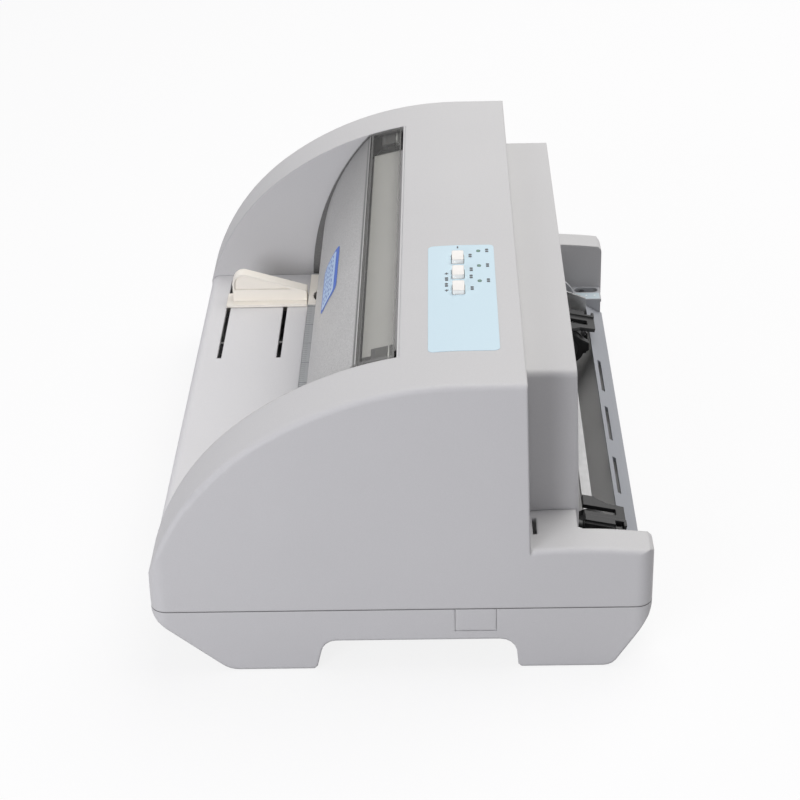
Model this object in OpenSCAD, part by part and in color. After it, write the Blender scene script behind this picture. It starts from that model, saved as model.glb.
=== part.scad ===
// Flat-bed dot matrix printer with a hinged smoked cover and a push tractor at the rear.
// Millimetres. +X is the right side, -Y the front where forms leave, +Z up.
// The origin is the centre of the footprint, on the table.

/* [Case] */
// Width over both side walls
body_w = 390; // [380:1:400]
// Depth from the front wall to the rear wall
body_d = 262; // [258:1:266]
// Height of the crown above the table
body_h = 169.5; // [168:0.5:171]
// Moulded wall thickness
wall = 2.5; // [2:0.1:2.8]
// Height of the seam between base tray and upper shell
seam_z = 37.7; // [37:0.1:38.5]
// Radius of the upright corners
corner_r = 9; // [8:1:14]
// Rounding of the edge between the crown and the side walls
rim_r = 3; // [2:0.5:4]
// Width of each side wing beside the front opening
wing_w = 37; // [36:0.5:38]
// Radius of the front arc of the crown
front_arc_r = 140.5; // [138:0.5:142]
// Height of the deck behind the main hump
deck_z = 73.5; // [72:0.5:75]
// Width of the shoulders beside the tractor bay
shoulder_w = 20; // [18:1:22]
// Width of the rear hood
hood_w = 312; // [306:2:312]
// Height of the rear hood
hood_z = 155.5; // [152:0.5:158]
// Height of the skirt over the gap between the feet
arch_z = 18.6; // [17:0.2:20]

/* [Table and guide] */
// Height of the front table
table_z = 62.5; // [62:0.1:63]
// Distance of the edge guide's inner face from the middle
guide_x = 115; // [90:1:125]
// Height of the edge guide above the table
guide_h = 20.6; // [18:0.2:24]

/* [Smoked cover] */
// Wall of the smoked cover
cover_t = 2.2; // [1.8:0.1:2.5]
// Running gap between the cover and the wings
cover_gap = 0.6; // [0.5:0.1:1]

/* [Control panel] */
// Middle of the three buttons along the width
panel_x = 69; // [60:1:80]
// Pitch of the buttons
button_pitch = 19; // [17:0.5:20]
// Height of the buttons above the crown
button_rise = 3; // [2:0.5:3.5]

/* [Mechanism] */
// Half the distance between the steel side plates
plate_x = 148; // [147:0.5:149]
// Thickness of the steel side plates
plate_t = 1.6; // [1.2:0.2:2]
// Radius of the feed roller rubber
roller_r = 8; // [7:0.5:8]
// Radius of the carriage guide shaft
guide_shaft_r = 5; // [4:0.5:6]
// Offset of the carriage from the middle
carriage_x = 0; // [-60:1:60]
// Module of the feed gears
gear_m = 1; // [1:1:1]

/* [Tractors] */
// Pitch of the form's sprocket holes
hole_pitch = 12.7; // [12.7:0.1:12.7]
// Hole row of the right tractor
right_row_x = 120; // [100:0.5:121]
// Hole row of the left tractor
left_row_x = -108.5; // [-121:0.5:-100]
// Pins round each sprocket wheel
sprocket_pins = 6; // [6:1:6]

/* [Hidden] */
$fn = 64;
eps = 0.01;
run_fit = 0.05;
clear = 0.4;

// Case outline
front_y = -body_d / 2;
rear_y = body_d / 2;
side_x = body_w / 2;
mouth_x = side_x - wing_w;
mouth_rear_y = 1.5;
wing_wall_x = mouth_x + wall;
crown_y = 34.4;
// The top arc's radius is larger by this step, and the arcs touch in the direction arc_dir
arc_step = 50;
arc_dir = [-0.6, 0.8];
crown_r = front_arc_r + arc_step;
crown_c = [crown_y, body_h - crown_r];
front_arc_c = crown_c + arc_step * arc_dir;
arc_far = 1.2 * crown_r;
main_top_y = 65;
main_foot_y = 67.8;
front_draft = 1.7;
deck_crown_y = 90;
deck_r = 300;
deck_edge_r = 3.5;
deck_edge_z = 67.2;
mouth_low_z = 39.9;
throat_top_z = 145;
deck_slot_x = [163.5, 179];
deck_slot_y = [69, 71.2];
shoulder_y = 94;
shoulder_x = side_x - shoulder_w;
hood_rear_y = 92.5;
hood_foot_z = 60;
hood_edge_r = 4;
hood_drop_z = deck_z + clear;
bay_floor_z = 30;
throat_x = 150;

// Base tray
foot_clear = 0.8;
pan_z = arch_z - 3;
tray_floor = 2.5;
skirt_w = 8;
knock_y = 28;
knock_w = 22;
knock_h = 14;
groove = 0.5;
boss_r = 4.5;
screw_r = 1.6;
boss_xy = [[-188.5, -70], [188.5, -70], [-188.5, 100], [188.5, 100]];
boss_top_z = 58;
frame_boss_x = 140;
frame_boss_y = [-44, 70];
frame_boss_z = 26;
frame_boss_xy = [for (x = [-frame_boss_x, frame_boss_x], y = frame_boss_y) [x, y]];

// Front table
table_t = 2.5;
table_front_y = front_y + 1.2;
table_rear_y = -63.5;
lip_z = 40.5;
lip_r = 5;
guide_slot_y = [-114.7, -78];
guide_slot_w = 2.8;
guide_slot_x = [-150, -40];

// Smoked cover
cover_x = mouth_x - cover_gap;
cover_rear_y = -0.8;
rib_y = -20.5;
panel_arc_c = [63.6, 77.7];
panel_arc_r = 118.7;
panel_low_z = 68.3;
cheek_t = 2.5;
cheek_arc_c = [85.2, 59.9];
cheek_arc_r = 147.2;
cheek_band = 12;
cheek_low_z = 64.6;
hinge_y = -3.5;
hinge_z = 161.9;
hinge_pin_r = 1.5;

// Control panel
key_y = 32.7;
key_size = [12, 6.5];
key_flange_z = 165;
key_flange = [15, 9.5];
lens_y = 44.2;
lens_x = panel_x - 10;
lens_size = [3, 2];
label_c = [95, 34.6];
label_size = [126, 36.4];
label_depth = 12;
board_c = [panel_x, 36];
board_z = 157.4;
board_t = 1.6;

// Print line, rollers and gears
paper_z = 62;
platen_y = -16;
front_roller_y = -38;
rear_roller_y = 8;
roller_z = paper_z - roller_r;
feed_shaft_r = 3;
pinch_r = 6;
pinch_z = paper_z + 0.35 + pinch_r;
roller_gear_teeth = 24;
pinion_teeth = 14;
bridge_teeth = 22;
transfer_teeth = 24;
tractor_gear_teeth = 24;
idler_teeth = 14;
reduction_teeth = 21;
gear_face = 5;
gear_gap = 0.8;
gear_x = plate_x + 2.4;
outer_gear_x = gear_x + gear_face + gear_gap;
tractor_y = 104;
sprocket_r = hole_pitch * sprocket_pins / (2 * PI);
tractor_z = 34;
motor_z = 38;
// distances between neighbours in the train from the motor to the tractor shaft
train_steps = gear_m / 2 * [pinion_teeth + idler_teeth, idler_teeth + reduction_teeth,
    2 * idler_teeth, idler_teeth + tractor_gear_teeth];
train_run = train_steps[0] + train_steps[1] + train_steps[2] + train_steps[3];
motor_y = tractor_y - sqrt(pow(train_run, 2) - pow(motor_z - tractor_z, 2));
motor_half = 16;
motor_pilot_r = 7;
stub_r = 2;

// Carriage and belt
shaft_y = 14;
shaft_z = 92;
carriage_half = 26;
beam_z = 98;
beam_t = 1.6;
beam_front_y = 32;
beam_rear_y = 75;
pulley_y = 54;
pulley_x = 125;
pulley_r = 7;
pulley_z = 86.5;
belt_w = 6;
belt_t = 1.3;
belt_z = 88;
shelf_z = 127;
cable_w = 16;

// Tractors
support_y = 85.5;
support_z = 29.5;
support_r = 3;
drive_square = 8;
hub_r = 7;
pin_r = 1.6;
pin_reach = 2.6;
flap_tilt = 12;

// Ramp and release lever
ramp_y = 119.5;
ledge_z = 41.5;
ledge_x = [-shoulder_x, -156];
ledge_y = [110.5, 130];
lever_y = 120.7;
lever_z = 28.5;
lever_slot_x = [-173.3, -166.7];
lever_slot_y = [113, 128.4];
lever_tilt = 14;
lever_r = 12.5;

// Power entry on the left side
inlet_y = 78;
inlet_z = 53;
inlet_flange = [27, 19.8];
inlet_cup = [26, 18.8];
inlet_mouth = [22.5, 15.5];
rocker_y = -48;
rocker_z = 52;
rocker_frame = [20.8, 12.8];
rocker_mouth = [18.4, 10.4];
rocker_pin_x = -side_x + 4.5;

// Main board and its ports on the left side, each given by its two y values
board_x = [-183, -30];
board_y = [-36, 53];
main_board_z = 21.4;
printer_port_y = [-28, 30];
serial_port_y = [40.5, 52.5];
port_z = 24.2;

// ---- shared shapes -------------------------------------------------------------------

// Extrudes a (y, z) outline along X, centred on the middle plane
module slab_x(w) {
    translate([-w / 2, 0, 0]) rotate([90, 0, 90]) linear_extrude(w) children();
}

// Extrudes a (y, z) outline from x0 to x1
module slab_from(x0, x1) {
    translate([x0, 0, 0]) rotate([90, 0, 90]) linear_extrude(x1 - x0) children();
}

// Box between two corners
module box(a, b) {
    translate(a) cube(b - a);
}

// Cylinder along X from x0 to x1, centred on (y, z)
module rod_x(r, x0, x1, y, z) {
    translate([x0, y, z]) rotate([0, 90, 0]) cylinder(r = r, h = x1 - x0);
}

// Rectangle in plan with true round corners
module round_rect(w, d, r) {
    square([w - 2 * r, d], center = true);
    square([w, d - 2 * r], center = true);
    for (x = [-1, 1], y = [-1, 1]) translate([x * (w / 2 - r), y * (d / 2 - r)]) circle(r);
}

// Points of an arc about c, from angle a0 to a1
function arc(c, r, a0, a1, n) =
    [for (i = [0:n]) c + r * [cos(a0 + (a1 - a0) * i / n), sin(a0 + (a1 - a0) * i / n)]];

// Disc about the X axis whose rim is rounded, for a crown with soft side edges
module rim_disc(r, half_w, rim) {
    rotate([0, 90, 0]) rotate_extrude($fn = 128) {
        translate([0, -half_w + rim]) square([r, 2 * (half_w - rim)]);
        translate([0, -half_w]) square([r - rim, 2 * half_w]);
        for (s = [-1, 1]) translate([r - rim, s * (half_w - rim)]) circle(rim, $fn = 32);
    }
}

// Meeting point of two circles, on the left of the line from a to b
function meet(a, ra, b, rb) =
    let (d = norm(b - a), u = (b - a) / d, k = (d * d + ra * ra - rb * rb) / (2 * d))
    a + k * u + sqrt(ra * ra - k * k) * [-u[1], u[0]];

// ---- case ----------------------------------------------------------------------------

// The crown as a solid: front arc, top arc and the level top behind the crest
module crown(inset, half_w, rim) {
    intersection() {
        translate([0, front_arc_c[0], front_arc_c[1]]) rim_disc(front_arc_r - inset, half_w, rim);
        slab_x(body_w + 20) polygon([crown_c, crown_c + arc_far * arc_dir,
            [front_y - 40, body_h + 40], [front_y - 40, crown_c[1]]]);
    }
    intersection() {
        translate([0, crown_c[0], crown_c[1]]) rim_disc(crown_r - inset, half_w, rim);
        slab_x(body_w + 20) polygon([crown_c, crown_c + arc_far * arc_dir,
            [crown_y, body_h + 40]]);
    }
    translate([0, crown_y, body_h - inset]) rotate([-90, 0, 0]) linear_extrude(rear_y) {
        translate([-half_w + rim, 0]) square([2 * (half_w - rim), body_h]);
        translate([-half_w, rim]) square([2 * half_w, body_h - rim]);
        for (s = [-1, 1]) translate([s * (half_w - rim), rim]) circle(rim, $fn = 32);
    }
}

// Side outline of the main hump, without its crown
module hump_outline(inset) {
    polygon([[front_y + inset, seam_z], [front_y + front_draft + inset, body_h / 2],
        [front_y + front_draft + inset, body_h + 1], [main_top_y - inset, body_h + 1],
        [main_foot_y - inset, seam_z]]);
}

// Deck and shoulders behind the hump: a shallow crown with soft side edges and a rounded end
module deck(inset, half_w, rim) {
    end_y = rear_y - inset;
    intersection() {
        translate([0, deck_crown_y, deck_z - deck_r]) rim_disc(deck_r - inset, half_w, rim);
        slab_x(body_w + 20) polygon(concat([[crown_y, seam_z], [end_y, seam_z]],
            arc([end_y - deck_edge_r, deck_edge_z - inset], deck_edge_r, 0, 50, 3),
            [[crown_y, body_h]]));
    }
}

// Footprint column with round corners, used to trim the case parts
module plan_column(inset) {
    translate([0, 0, -1]) linear_extrude(body_h + 20)
        round_rect(body_w - 2 * inset, body_d - 2 * inset, corner_r - inset);
}

// The upper shell's outer form, or its cavity when inset by the wall
module shell_form(inset) {
    half_w = side_x - inset;
    rim = max(rim_r - inset, 0.5);
    intersection() {
        union() {
            intersection() {
                crown(inset, half_w, rim);
                slab_x(body_w + 20) hump_outline(inset);
            }
            deck(inset, half_w, rim);
        }
        plan_column(inset);
    }
}

// Openings of the three keys and the three lenses through crown and label
module button_holes() {
    for (i = [-1:1]) translate([panel_x + i * button_pitch, key_y, body_h - label_depth])
        linear_extrude(2 * label_depth) round_rect(key_size[0] + 0.6, key_size[1] + 0.6, 1);
    for (i = [-1:1]) translate([lens_x + i * button_pitch, lens_y, body_h - label_depth])
        linear_extrude(2 * label_depth) round_rect(lens_size[0] + 0.2, lens_size[1] + 0.2, 1);
}

// The shell's walls: skin, wing walls, bay walls, the hump's rear wall and the bosses
module shell_walls() {
    difference() {
        shell_form(0);
        difference() {
            shell_form(wall);
            // wing walls beside the front opening
            for (s = [-1, 1]) scale([s, 1, 1])
                box([mouth_x, front_y, 0], [wing_wall_x, mouth_rear_y + wall, body_h]);
            // walls between the hump and the tractor bay
            for (s = [-1, 1]) scale([s, 1, 1])
                box([shoulder_x, shoulder_y, 0], [shoulder_x + wall, rear_y, body_h]);
            // the hump's own rear wall above the deck
            intersection() {
                slab_x(body_w) difference() {
                    hump_outline(0);
                    hump_outline(wall);
                }
                box([-side_x, crown_y, deck_z - wall], [side_x, rear_y, body_h]);
            }
            shell_bosses();
        }
    }
}

module upper_shell() {
    color("gainsboro") difference() {
        shell_walls();
        // front opening between the wings
        box([-mouth_x, front_y - 1, mouth_low_z], [mouth_x, mouth_rear_y, body_h + 1]);
        // tractor bay
        box([-shoulder_x, shoulder_y - 1.5, seam_z - 1], [shoulder_x, rear_y + 1, deck_z + 5]);
        // the hood's foot passes the deck
        box([-hood_w / 2 - clear, main_foot_y - 3, seam_z - 1],
            [hood_w / 2 + clear, shoulder_y, deck_z + 5]);
        // the way from the hump into the hood
        box([-throat_x, crown_y, deck_z - 5], [throat_x, main_foot_y + 1, throat_top_z]);
        button_holes();
        // small slots in the deck behind the wings
        for (s = [-1, 1]) scale([s, 1, 1]) box([deck_slot_x[0], deck_slot_y[0], deck_z - 5],
            [deck_slot_x[1], deck_slot_y[1], deck_z + 2]);
        // power inlet and rocker switch on the left side
        side_window(inlet_y, inlet_z, inlet_flange + [0.6, 0.6]);
        side_window(rocker_y, rocker_z, rocker_frame + [0.4, 0.4]);
        // hinge pin bores through the wing walls
        rod_x(hinge_pin_r, -wing_wall_x - 1, wing_wall_x + 1, hinge_y, hinge_z);
        for (p = boss_xy) translate([p[0], p[1], 0]) cylinder(r = 1.3, h = boss_top_z - 3);
    }
}

// Opening through the left side wall, centred on (y, z)
module side_window(y, z, size) {
    box([-side_x - 1, y - size[0] / 2, z - size[1] / 2],
        [-side_x + wall + 1, y + size[0] / 2, z + size[1] / 2]);
}

// Screw bosses under the crown, and those that carry the panel board
module shell_bosses() {
    for (p = boss_xy) translate([p[0], p[1], seam_z]) cylinder(r = boss_r, h = boss_top_z - seam_z);
    for (x = [-28, 28], y = [-12, 12])
        translate([board_c[0] + x, board_c[1] + y, board_z + board_t]) cylinder(r = 2.5, h = 20);
}

// Base tray outline seen from the side: front wall, bevel, feet and the arch between them
function tray_points(i) = concat(
    [[front_y + i, seam_z + 1], [front_y + i, 35.6], [front_y + 4 + i, 30.8]],
    arc([front_y + 45, 14 + foot_clear], 14 - i, 230, 270, 4),
    [[-46.4 - i, foot_clear + i], [-44.6 - i, foot_clear + 1.8 + i]],
    arc([-34.4, arch_z - 8], 8 + i, 170, 90, 4),
    arc([51.6, arch_z - 9], 9 + i, 90, 10, 4),
    [[61.2 + i, 2.4 + i], [62.9 + i, foot_clear + i]],
    arc([105.8, 8 + foot_clear], 8 - i, 270, 326, 3),
    [[rear_y - 2 - i, 30.4], [rear_y - i, 35.6], [rear_y - i, seam_z + 1]]);

module base_tray() {
    color("gainsboro") difference() {
        union() {
            intersection() {
                slab_x(body_w) polygon(tray_points(0));
                plan_column(0);
            }
            // bottom pan, set back behind the side skirts
            box([-side_x + skirt_w, -40, pan_z], [side_x - skirt_w, 57, arch_z + 1]);
        }
        box([-side_x - 1, front_y - 1, seam_z], [side_x + 1, rear_y + 1, seam_z + 5]);
        difference() {
            intersection() {
                slab_x(body_w - 2 * wall) polygon(tray_points(wall));
                plan_column(wall);
            }
            for (p = concat(boss_xy, frame_boss_xy)) translate([p[0], p[1], 0])
                cylinder(r = boss_r, h = frame_top(p));
            // stiffening ribs across the feet
            for (x = [-120:60:120]) box([x - 0.9, front_y, 0], [x + 0.9, -50, 10]);
        }
        // the pan's floor inside the skirts
        box([-side_x + skirt_w + wall, -37, pan_z + tray_floor], [side_x - skirt_w - wall, 54, seam_z]);
        // low rear edge of the tractor bay
        box([-shoulder_x, 118, bay_floor_z], [shoulder_x, rear_y + 1, seam_z + 1]);
        // cooling slots in the pan
        for (x = [-100:12:100]) box([x - 1.5, -20, pan_z - 1], [x + 1.5, 34, arch_z + 3]);
        // printer port and serial port in the left skirt
        port_notch(printer_port_y - [4, -4]);
        port_notch(serial_port_y - [0.5, -0.5]);
        // outline of the blanked port in the right skirt
        difference() {
            box([side_x - groove, knock_y, seam_z - knock_h], [side_x + 1, knock_y + knock_w, seam_z + 1]);
            box([side_x - 1, knock_y + groove, seam_z - knock_h + groove],
                [side_x + 2, knock_y + knock_w - groove, seam_z + 2]);
        }
        // screw holes through the feet, with head recesses
        for (p = boss_xy) translate([p[0], p[1], -1]) {
            cylinder(r = screw_r + 0.2, h = seam_z + 2);
            cylinder(r = 3.4, h = 7.8);
        }
        // pockets for the rubber feet
        for (p = foot_xy) translate([p[0], p[1], -1]) cylinder(r = 7.2, h = 2.8);
    }
}

// Notch in the tray's left rim, open upwards, for a port of the main board
module port_notch(y) {
    box([-side_x - 1, y[0], port_z - 0.6], [-side_x + wall + 8, y[1], seam_z + 1]);
}

function frame_top(p) = abs(p[0]) > frame_boss_x ? seam_z : frame_boss_z;
foot_xy = [[-150, -68], [150, -68], [-150, 96], [150, 96]];

module rubber_feet() {
    color("dimgray") for (p = foot_xy) translate([p[0], p[1], 0]) cylinder(r = 7, h = 1.8);
}

module case_screws() {
    color("silver") for (p = boss_xy) translate([p[0], p[1], 4.2]) {
        cylinder(r = 3.1, h = 2.6);
        cylinder(r = 1.3, h = 40);
    }
}

// Hood over the rear of the mechanism, with a slanted back
module hood_form(inset) {
    hw = hood_w / 2 - inset;
    top = hood_z - inset;
    intersection() {
        slab_x(hood_w) polygon([[main_top_y - 1, hood_foot_z - eps], [main_top_y - 1, top],
            [hood_rear_y - inset - 0.6, top], [hood_rear_y - inset + 2.4, hood_foot_z - eps]]);
        translate([0, main_top_y - 2, 0]) rotate([-90, 0, 0]) translate([0, -top, 0])
            linear_extrude(60) {
                translate([-hw, hood_edge_r]) square([2 * hw, top]);
                translate([-hw + hood_edge_r, 0]) square([2 * (hw - hood_edge_r), top]);
                for (s = [-1, 1]) translate([s * (hw - hood_edge_r), hood_edge_r])
                    circle(hood_edge_r);
            }
        translate([0, hood_rear_y - 50 - inset + 2, 0]) linear_extrude(body_h)
            round_rect(2 * hw, 100, hood_edge_r);
    }
}

module rear_hood() {
    color("gainsboro") difference() {
        hood_form(0);
        hood_form(wall);
        // open where it meets the hump's rear wall
        slab_x(body_w) polygon([[0, 0], [0, body_h], [main_top_y + 0.2, body_h],
            [main_foot_y + 0.3, deck_z - 1], [main_foot_y + 0.3, 0]]);
        box([-hood_w / 2 + wall, main_top_y - 2, hood_foot_z - 1],
            [hood_w / 2 - wall, hood_rear_y - 4, hood_foot_z + 5]);
    }
}

// Front table with a rounded lip that hooks over the front wall
module front_table() {
    color("lightgray") difference() {
        slab_x(2 * mouth_x - 0.6) difference() {
            table_outline(0);
            table_outline(table_t);
        }
        for (y = guide_slot_y) box([guide_slot_x[0], y - guide_slot_w / 2, table_z - 5],
            [guide_slot_x[1], y + guide_slot_w / 2, table_z + 1]);
    }
    color("lightgray") difference() {
        for (x = [-130:52:130]) slab_from(x - 1, x + 1) polygon([
            [table_front_y + table_t, table_z - table_t], [table_front_y + table_t, lip_z + 4],
            [table_rear_y - 4, table_z - table_t - 5], [table_rear_y - 4, table_z - table_t]]);
        for (y = guide_slot_y) box([guide_slot_x[0], y - 4, table_z - 9],
            [guide_slot_x[1], y + 4, table_z]);
    }
}

module table_outline(inset) {
    y0 = table_front_y + inset;
    top = table_z - inset;
    r = lip_r - inset;
    translate([y0, lip_z - inset * 2]) square([table_rear_y - y0 + inset, top - r - lip_z + inset * 2]);
    translate([y0 + r, lip_z]) square([table_rear_y - y0 - r + inset, top - lip_z]);
    translate([y0 + r, top - r]) circle(r);
}

// ---- control panel -------------------------------------------------------------------

module control_label() {
    color("lightblue") difference() {
        intersection() {
            crown(-0.25, side_x, rim_r);
            translate([label_c[0], label_c[1], body_h - label_depth])
                linear_extrude(2 * label_depth) round_rect(label_size[0], label_size[1], 3);
        }
        crown(0, side_x, rim_r);
        button_holes();
    }
}

module led_lenses() {
    color("palegreen") for (i = [-1:1]) intersection() {
        translate([lens_x + i * button_pitch, lens_y, body_h - 5]) linear_extrude(8)
            round_rect(lens_size[0], lens_size[1], 0.9);
        crown(-0.35, side_x, rim_r);
    }
}

module panel_board() {
    color("darkgreen") {
        translate([board_c[0], board_c[1], board_z]) linear_extrude(board_t) round_rect(68, 32, 2);
        for (i = [-1:1]) translate([panel_x + i * button_pitch, key_y, board_z + board_t + 1.7])
            cube([6, 6, 3.4], center = true);
        for (i = [-1:1]) translate([lens_x + i * button_pitch, lens_y, board_z + 1.5])
            cylinder(r = 1, h = 5.4);
    }
}

// One key cap: a cushion top, a skirt under the shell and a stem over its switch
module key_cap(i) {
    top = body_h + button_rise;
    color("ivory") translate([panel_x + i * button_pitch, key_y, 0]) {
        difference() {
            translate([0, 0, key_flange_z]) linear_extrude(top - key_flange_z)
                round_rect(key_size[0], key_size[1], 1);
            // shallow finger dish
            translate([0, 0, top + 39.2]) rotate([90, 0, 0]) cylinder(r = 40, h = 10, center = true);
        }
        translate([0, 0, key_flange_z]) linear_extrude(1.4)
            round_rect(key_flange[0], key_flange[1], 1);
        translate([0, 0, key_flange_z - 1.2]) cylinder(r = 1.5, h = 2);
    }
}

module select_button() { key_cap(-1); }
module load_button() { key_cap(0); }
module feed_button() { key_cap(1); }

// ---- smoked cover --------------------------------------------------------------------

// Outer skin of the cover seen from the side, shrunk by i
module cover_outline(i) {
    intersection() {
        translate(panel_arc_c) circle(panel_arc_r - i, $fn = 128);
        translate(crown_c) circle(crown_r - i, $fn = 128);
        translate([-100, panel_low_z]) square([cover_rear_y + 100, 120]);
    }
}

module cheek_outline() {
    intersection() {
        difference() {
            translate(cheek_arc_c) circle(cheek_arc_r, $fn = 128);
            translate(cheek_arc_c) circle(cheek_arc_r - cheek_band, $fn = 128);
        }
        translate(crown_c) circle(crown_r, $fn = 128);
        translate([-100, cheek_low_z]) square([cover_rear_y + 100, 120]);
    }
    // eye that carries the hinge pin
    intersection() {
        translate([-14, hinge_z - 5]) square([14 + cover_rear_y, 12]);
        translate(crown_c) circle(crown_r, $fn = 128);
    }
}

module front_cover() {
    color([0.42, 0.42, 0.42, 0.6]) difference() {
        union() {
            slab_x(2 * cover_x) difference() {
                cover_outline(0);
                cover_outline(cover_t);
                translate([-60, panel_low_z - 1]) square([100, 2 * cover_t], center = true);
            }
            for (s = [-1, 1]) slab_from(s * (cover_x - cheek_t / 2) - cheek_t / 2,
                s * (cover_x - cheek_t / 2) + cheek_t / 2) cheek_outline();
            // stiffening rib under the top strip
            slab_x(2 * cover_x) intersection() {
                cover_outline(0);
                translate([rib_y - 1.2, 152]) square([2.4, 20]);
            }
        }
        rod_x(hinge_pin_r + run_fit, -cover_x - 1, cover_x + 1, hinge_y, hinge_z);
        // finger grip groove along the lower edge
        slab_x(90) translate([-57.3, 78]) circle(3.2, $fn = 48);
    }
}

module hinge_bosses() {
    color("dimgray") for (s = [-1, 1]) scale([s, 1, 1]) difference() {
        slab_from(139, cover_x - cheek_t) difference() {
            intersection() {
                cover_outline(cover_t);
                translate([-13, hinge_z - 4]) square([13 + cover_rear_y - 0.4, 12]);
            }
            translate([-9, hinge_z - 5]) square([4, 4]);
        }
        rod_x(hinge_pin_r + run_fit, 130, cover_x + 1, hinge_y, hinge_z);
    }
}

module hinge_pins() {
    color("silver") for (s = [-1, 1]) scale([s, 1, 1])
        rod_x(hinge_pin_r, 142, wing_wall_x, hinge_y, hinge_z);
}

// ---- table fittings ------------------------------------------------------------------

// Sliding edge guide: a wedge fin with a recessed panel, on a flange with two hooks
module edge_guide() {
    base_z = table_z + 0.3;
    fin_y = [front_y + 19, table_rear_y - 0.5];
    corner = 7;
    tail_h = 8.4;
    recess_h = 9.7;
    module fin_outline(i) {
        intersection() {
            union() {
                translate([fin_y[0] + corner, base_z + guide_h - corner]) circle(corner - i);
                polygon([[fin_y[0] + i, base_z + 0.5], [fin_y[0] + i, base_z + guide_h - corner],
                    [fin_y[0] + corner, base_z + guide_h - corner],
                    [fin_y[0] + corner + 1.7, base_z + guide_h - 0.2 - i],
                    [fin_y[1] - i, base_z + tail_h - i], [fin_y[1] - i, base_z + 0.5]]);
            }
            translate([fin_y[0] - 5, base_z + 0.5]) square([80, 60]);
        }
    }
    color("oldlace") difference() {
        union() {
            slab_from(-guide_x - 9, -guide_x) fin_outline(0);
            box([-guide_x - 12, guide_slot_y[0] - 1.4, base_z], [-guide_x + 6, fin_y[1], base_z + 1.6]);
            for (y = guide_slot_y) {
                box([-guide_x - 8, y - 1.2, table_z - 6], [-guide_x - 1, y + 1.2, base_z + 1]);
                box([-guide_x - 8, y - 3, table_z - 6], [-guide_x - 1, y + 3, table_z - 3]);
            }
        }
        // recessed wedge panel on the side facing the form
        slab_from(-guide_x - 1.2, -guide_x + 1) intersection() {
            fin_outline(1.4);
            polygon([[fin_y[0] + 1, base_z + recess_h], [fin_y[0] + 1, 200], [fin_y[1], 200],
                [fin_y[1] - 8, base_z + recess_h]]);
        }
        // hollow back
        slab_from(-guide_x - 10, -guide_x - 3) intersection() {
            fin_outline(2);
            translate([-200, base_z + 3]) square([400, 60]);
        }
    }
}

module scale_bar() {
    color([0.9, 0.92, 0.92, 0.6]) slab_from(-104, plate_x - plate_t / 2) {
        translate([-62.8, 65.3]) square([6.8, 1.4]);
        translate([-62.8, 64.4]) square([1.4, 2]);
    }
}

module bar_bracket() {
    color("oldlace") difference() {
        box([-plate_x + plate_t / 2, -62.8, 63.2], [-104, -55.5, 67.4]);
        translate([-104 - 12, -62.8 + 15, 62]) cylinder(r = 15 - 3, h = 10);
    }
}

// ---- rear bay ------------------------------------------------------------------------

// Moulded shelf with the slot of the release lever, standing on two walls
module lever_ledge() {
    slot_w = lever_slot_x[1] - lever_slot_x[0];
    slot_len = lever_slot_y[1] - lever_slot_y[0];
    slot_mid = [lever_slot_x[0] + lever_slot_x[1], lever_slot_y[0] + lever_slot_y[1]] / 2;
    color("lightgray") difference() {
        union() {
            box([ledge_x[0], ledge_y[0], ledge_z - 2], [ledge_x[1], ledge_y[1], ledge_z]);
            ledge_wall(ledge_x[0], ledge_x[0] + 2);
            ledge_wall(ledge_x[1] - 2.5, ledge_x[1]);
            // tall curved cheek in front of the shelf
            slab_from(ledge_x[1] - 2.5, ledge_x[1]) intersection() {
                translate([shoulder_y, 20]) square([ledge_y[0] - shoulder_y + 2, 37]);
                translate([shoulder_y, 40]) circle(18.5);
            }
        }
        translate([slot_mid[0], slot_mid[1], ledge_z - 5]) linear_extrude(10) {
            square([slot_w, slot_len - slot_w], center = true);
            for (s = [-1, 1]) translate([0, s * (slot_len - slot_w) / 2]) circle(slot_w / 2);
        }
        rod_x(2 + run_fit, ledge_x[0] - 1, ledge_x[1] + 1, lever_y, lever_z);
    }
}

module ledge_wall(x0, x1) {
    slab_from(x0, x1) polygon([[ledge_y[0], ledge_z], [ledge_y[0], 12], [ledge_y[0] + 3, 12],
        [125, bay_floor_z - 0.6], [125.6, bay_floor_z], [ledge_y[1] - 0.5, bay_floor_z],
        [ledge_y[1] - 0.5, ledge_z]]);
}

module release_lever() {
    color("dimgray") {
        rod_x(2, ledge_x[0] + 0.5, ledge_x[1] + 3, lever_y, lever_z);
        translate([0, lever_y, lever_z]) rotate([lever_tilt, 0, 0]) {
            rod_x(3.4, lever_slot_x[0] + 1.2, lever_slot_x[1] - 1.2, 0, 0);
            slab_from(lever_slot_x[0] + 1.2, lever_slot_x[1] - 1.2)
                polygon([[-2.4, 0], [2.4, 0], [1.8, lever_r - 1], [1, lever_r], [-1, lever_r],
                    [-1.8, lever_r - 1]]);
            // cam that lifts the pinch rollers
            slab_from(ledge_x[1] + 0.5, ledge_x[1] + 3) {
                circle(3.3);
                translate([-9, -2]) square([9, 4]);
                translate([-9, 0]) circle(2);
            }
        }
    }
}

// Ramp that carries the forms up from the rear edge
module rear_guide() {
    color("silver") difference() {
        slab_x(2 * shoulder_x - 0.6) polygon([[ramp_y, bay_floor_z + 7.6],
            [rear_y - 3.4, bay_floor_z + 2.4], [rear_y - 0.6, bay_floor_z + 1.6],
            [rear_y - 0.6, bay_floor_z], [rear_y - 5, bay_floor_z], [ramp_y, bay_floor_z + 5.4]]);
        box([ledge_x[0] - 1, ledge_y[0] - 1, 0], [ledge_x[1] + 0.4, rear_y + 1, 60]);
        for (x = [-60, 0, 60]) box([x - 20, ramp_y + 2.5, 20], [x + 20, ramp_y + 4.5, 50]);
    }
}

// ---- frame ---------------------------------------------------------------------------

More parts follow.
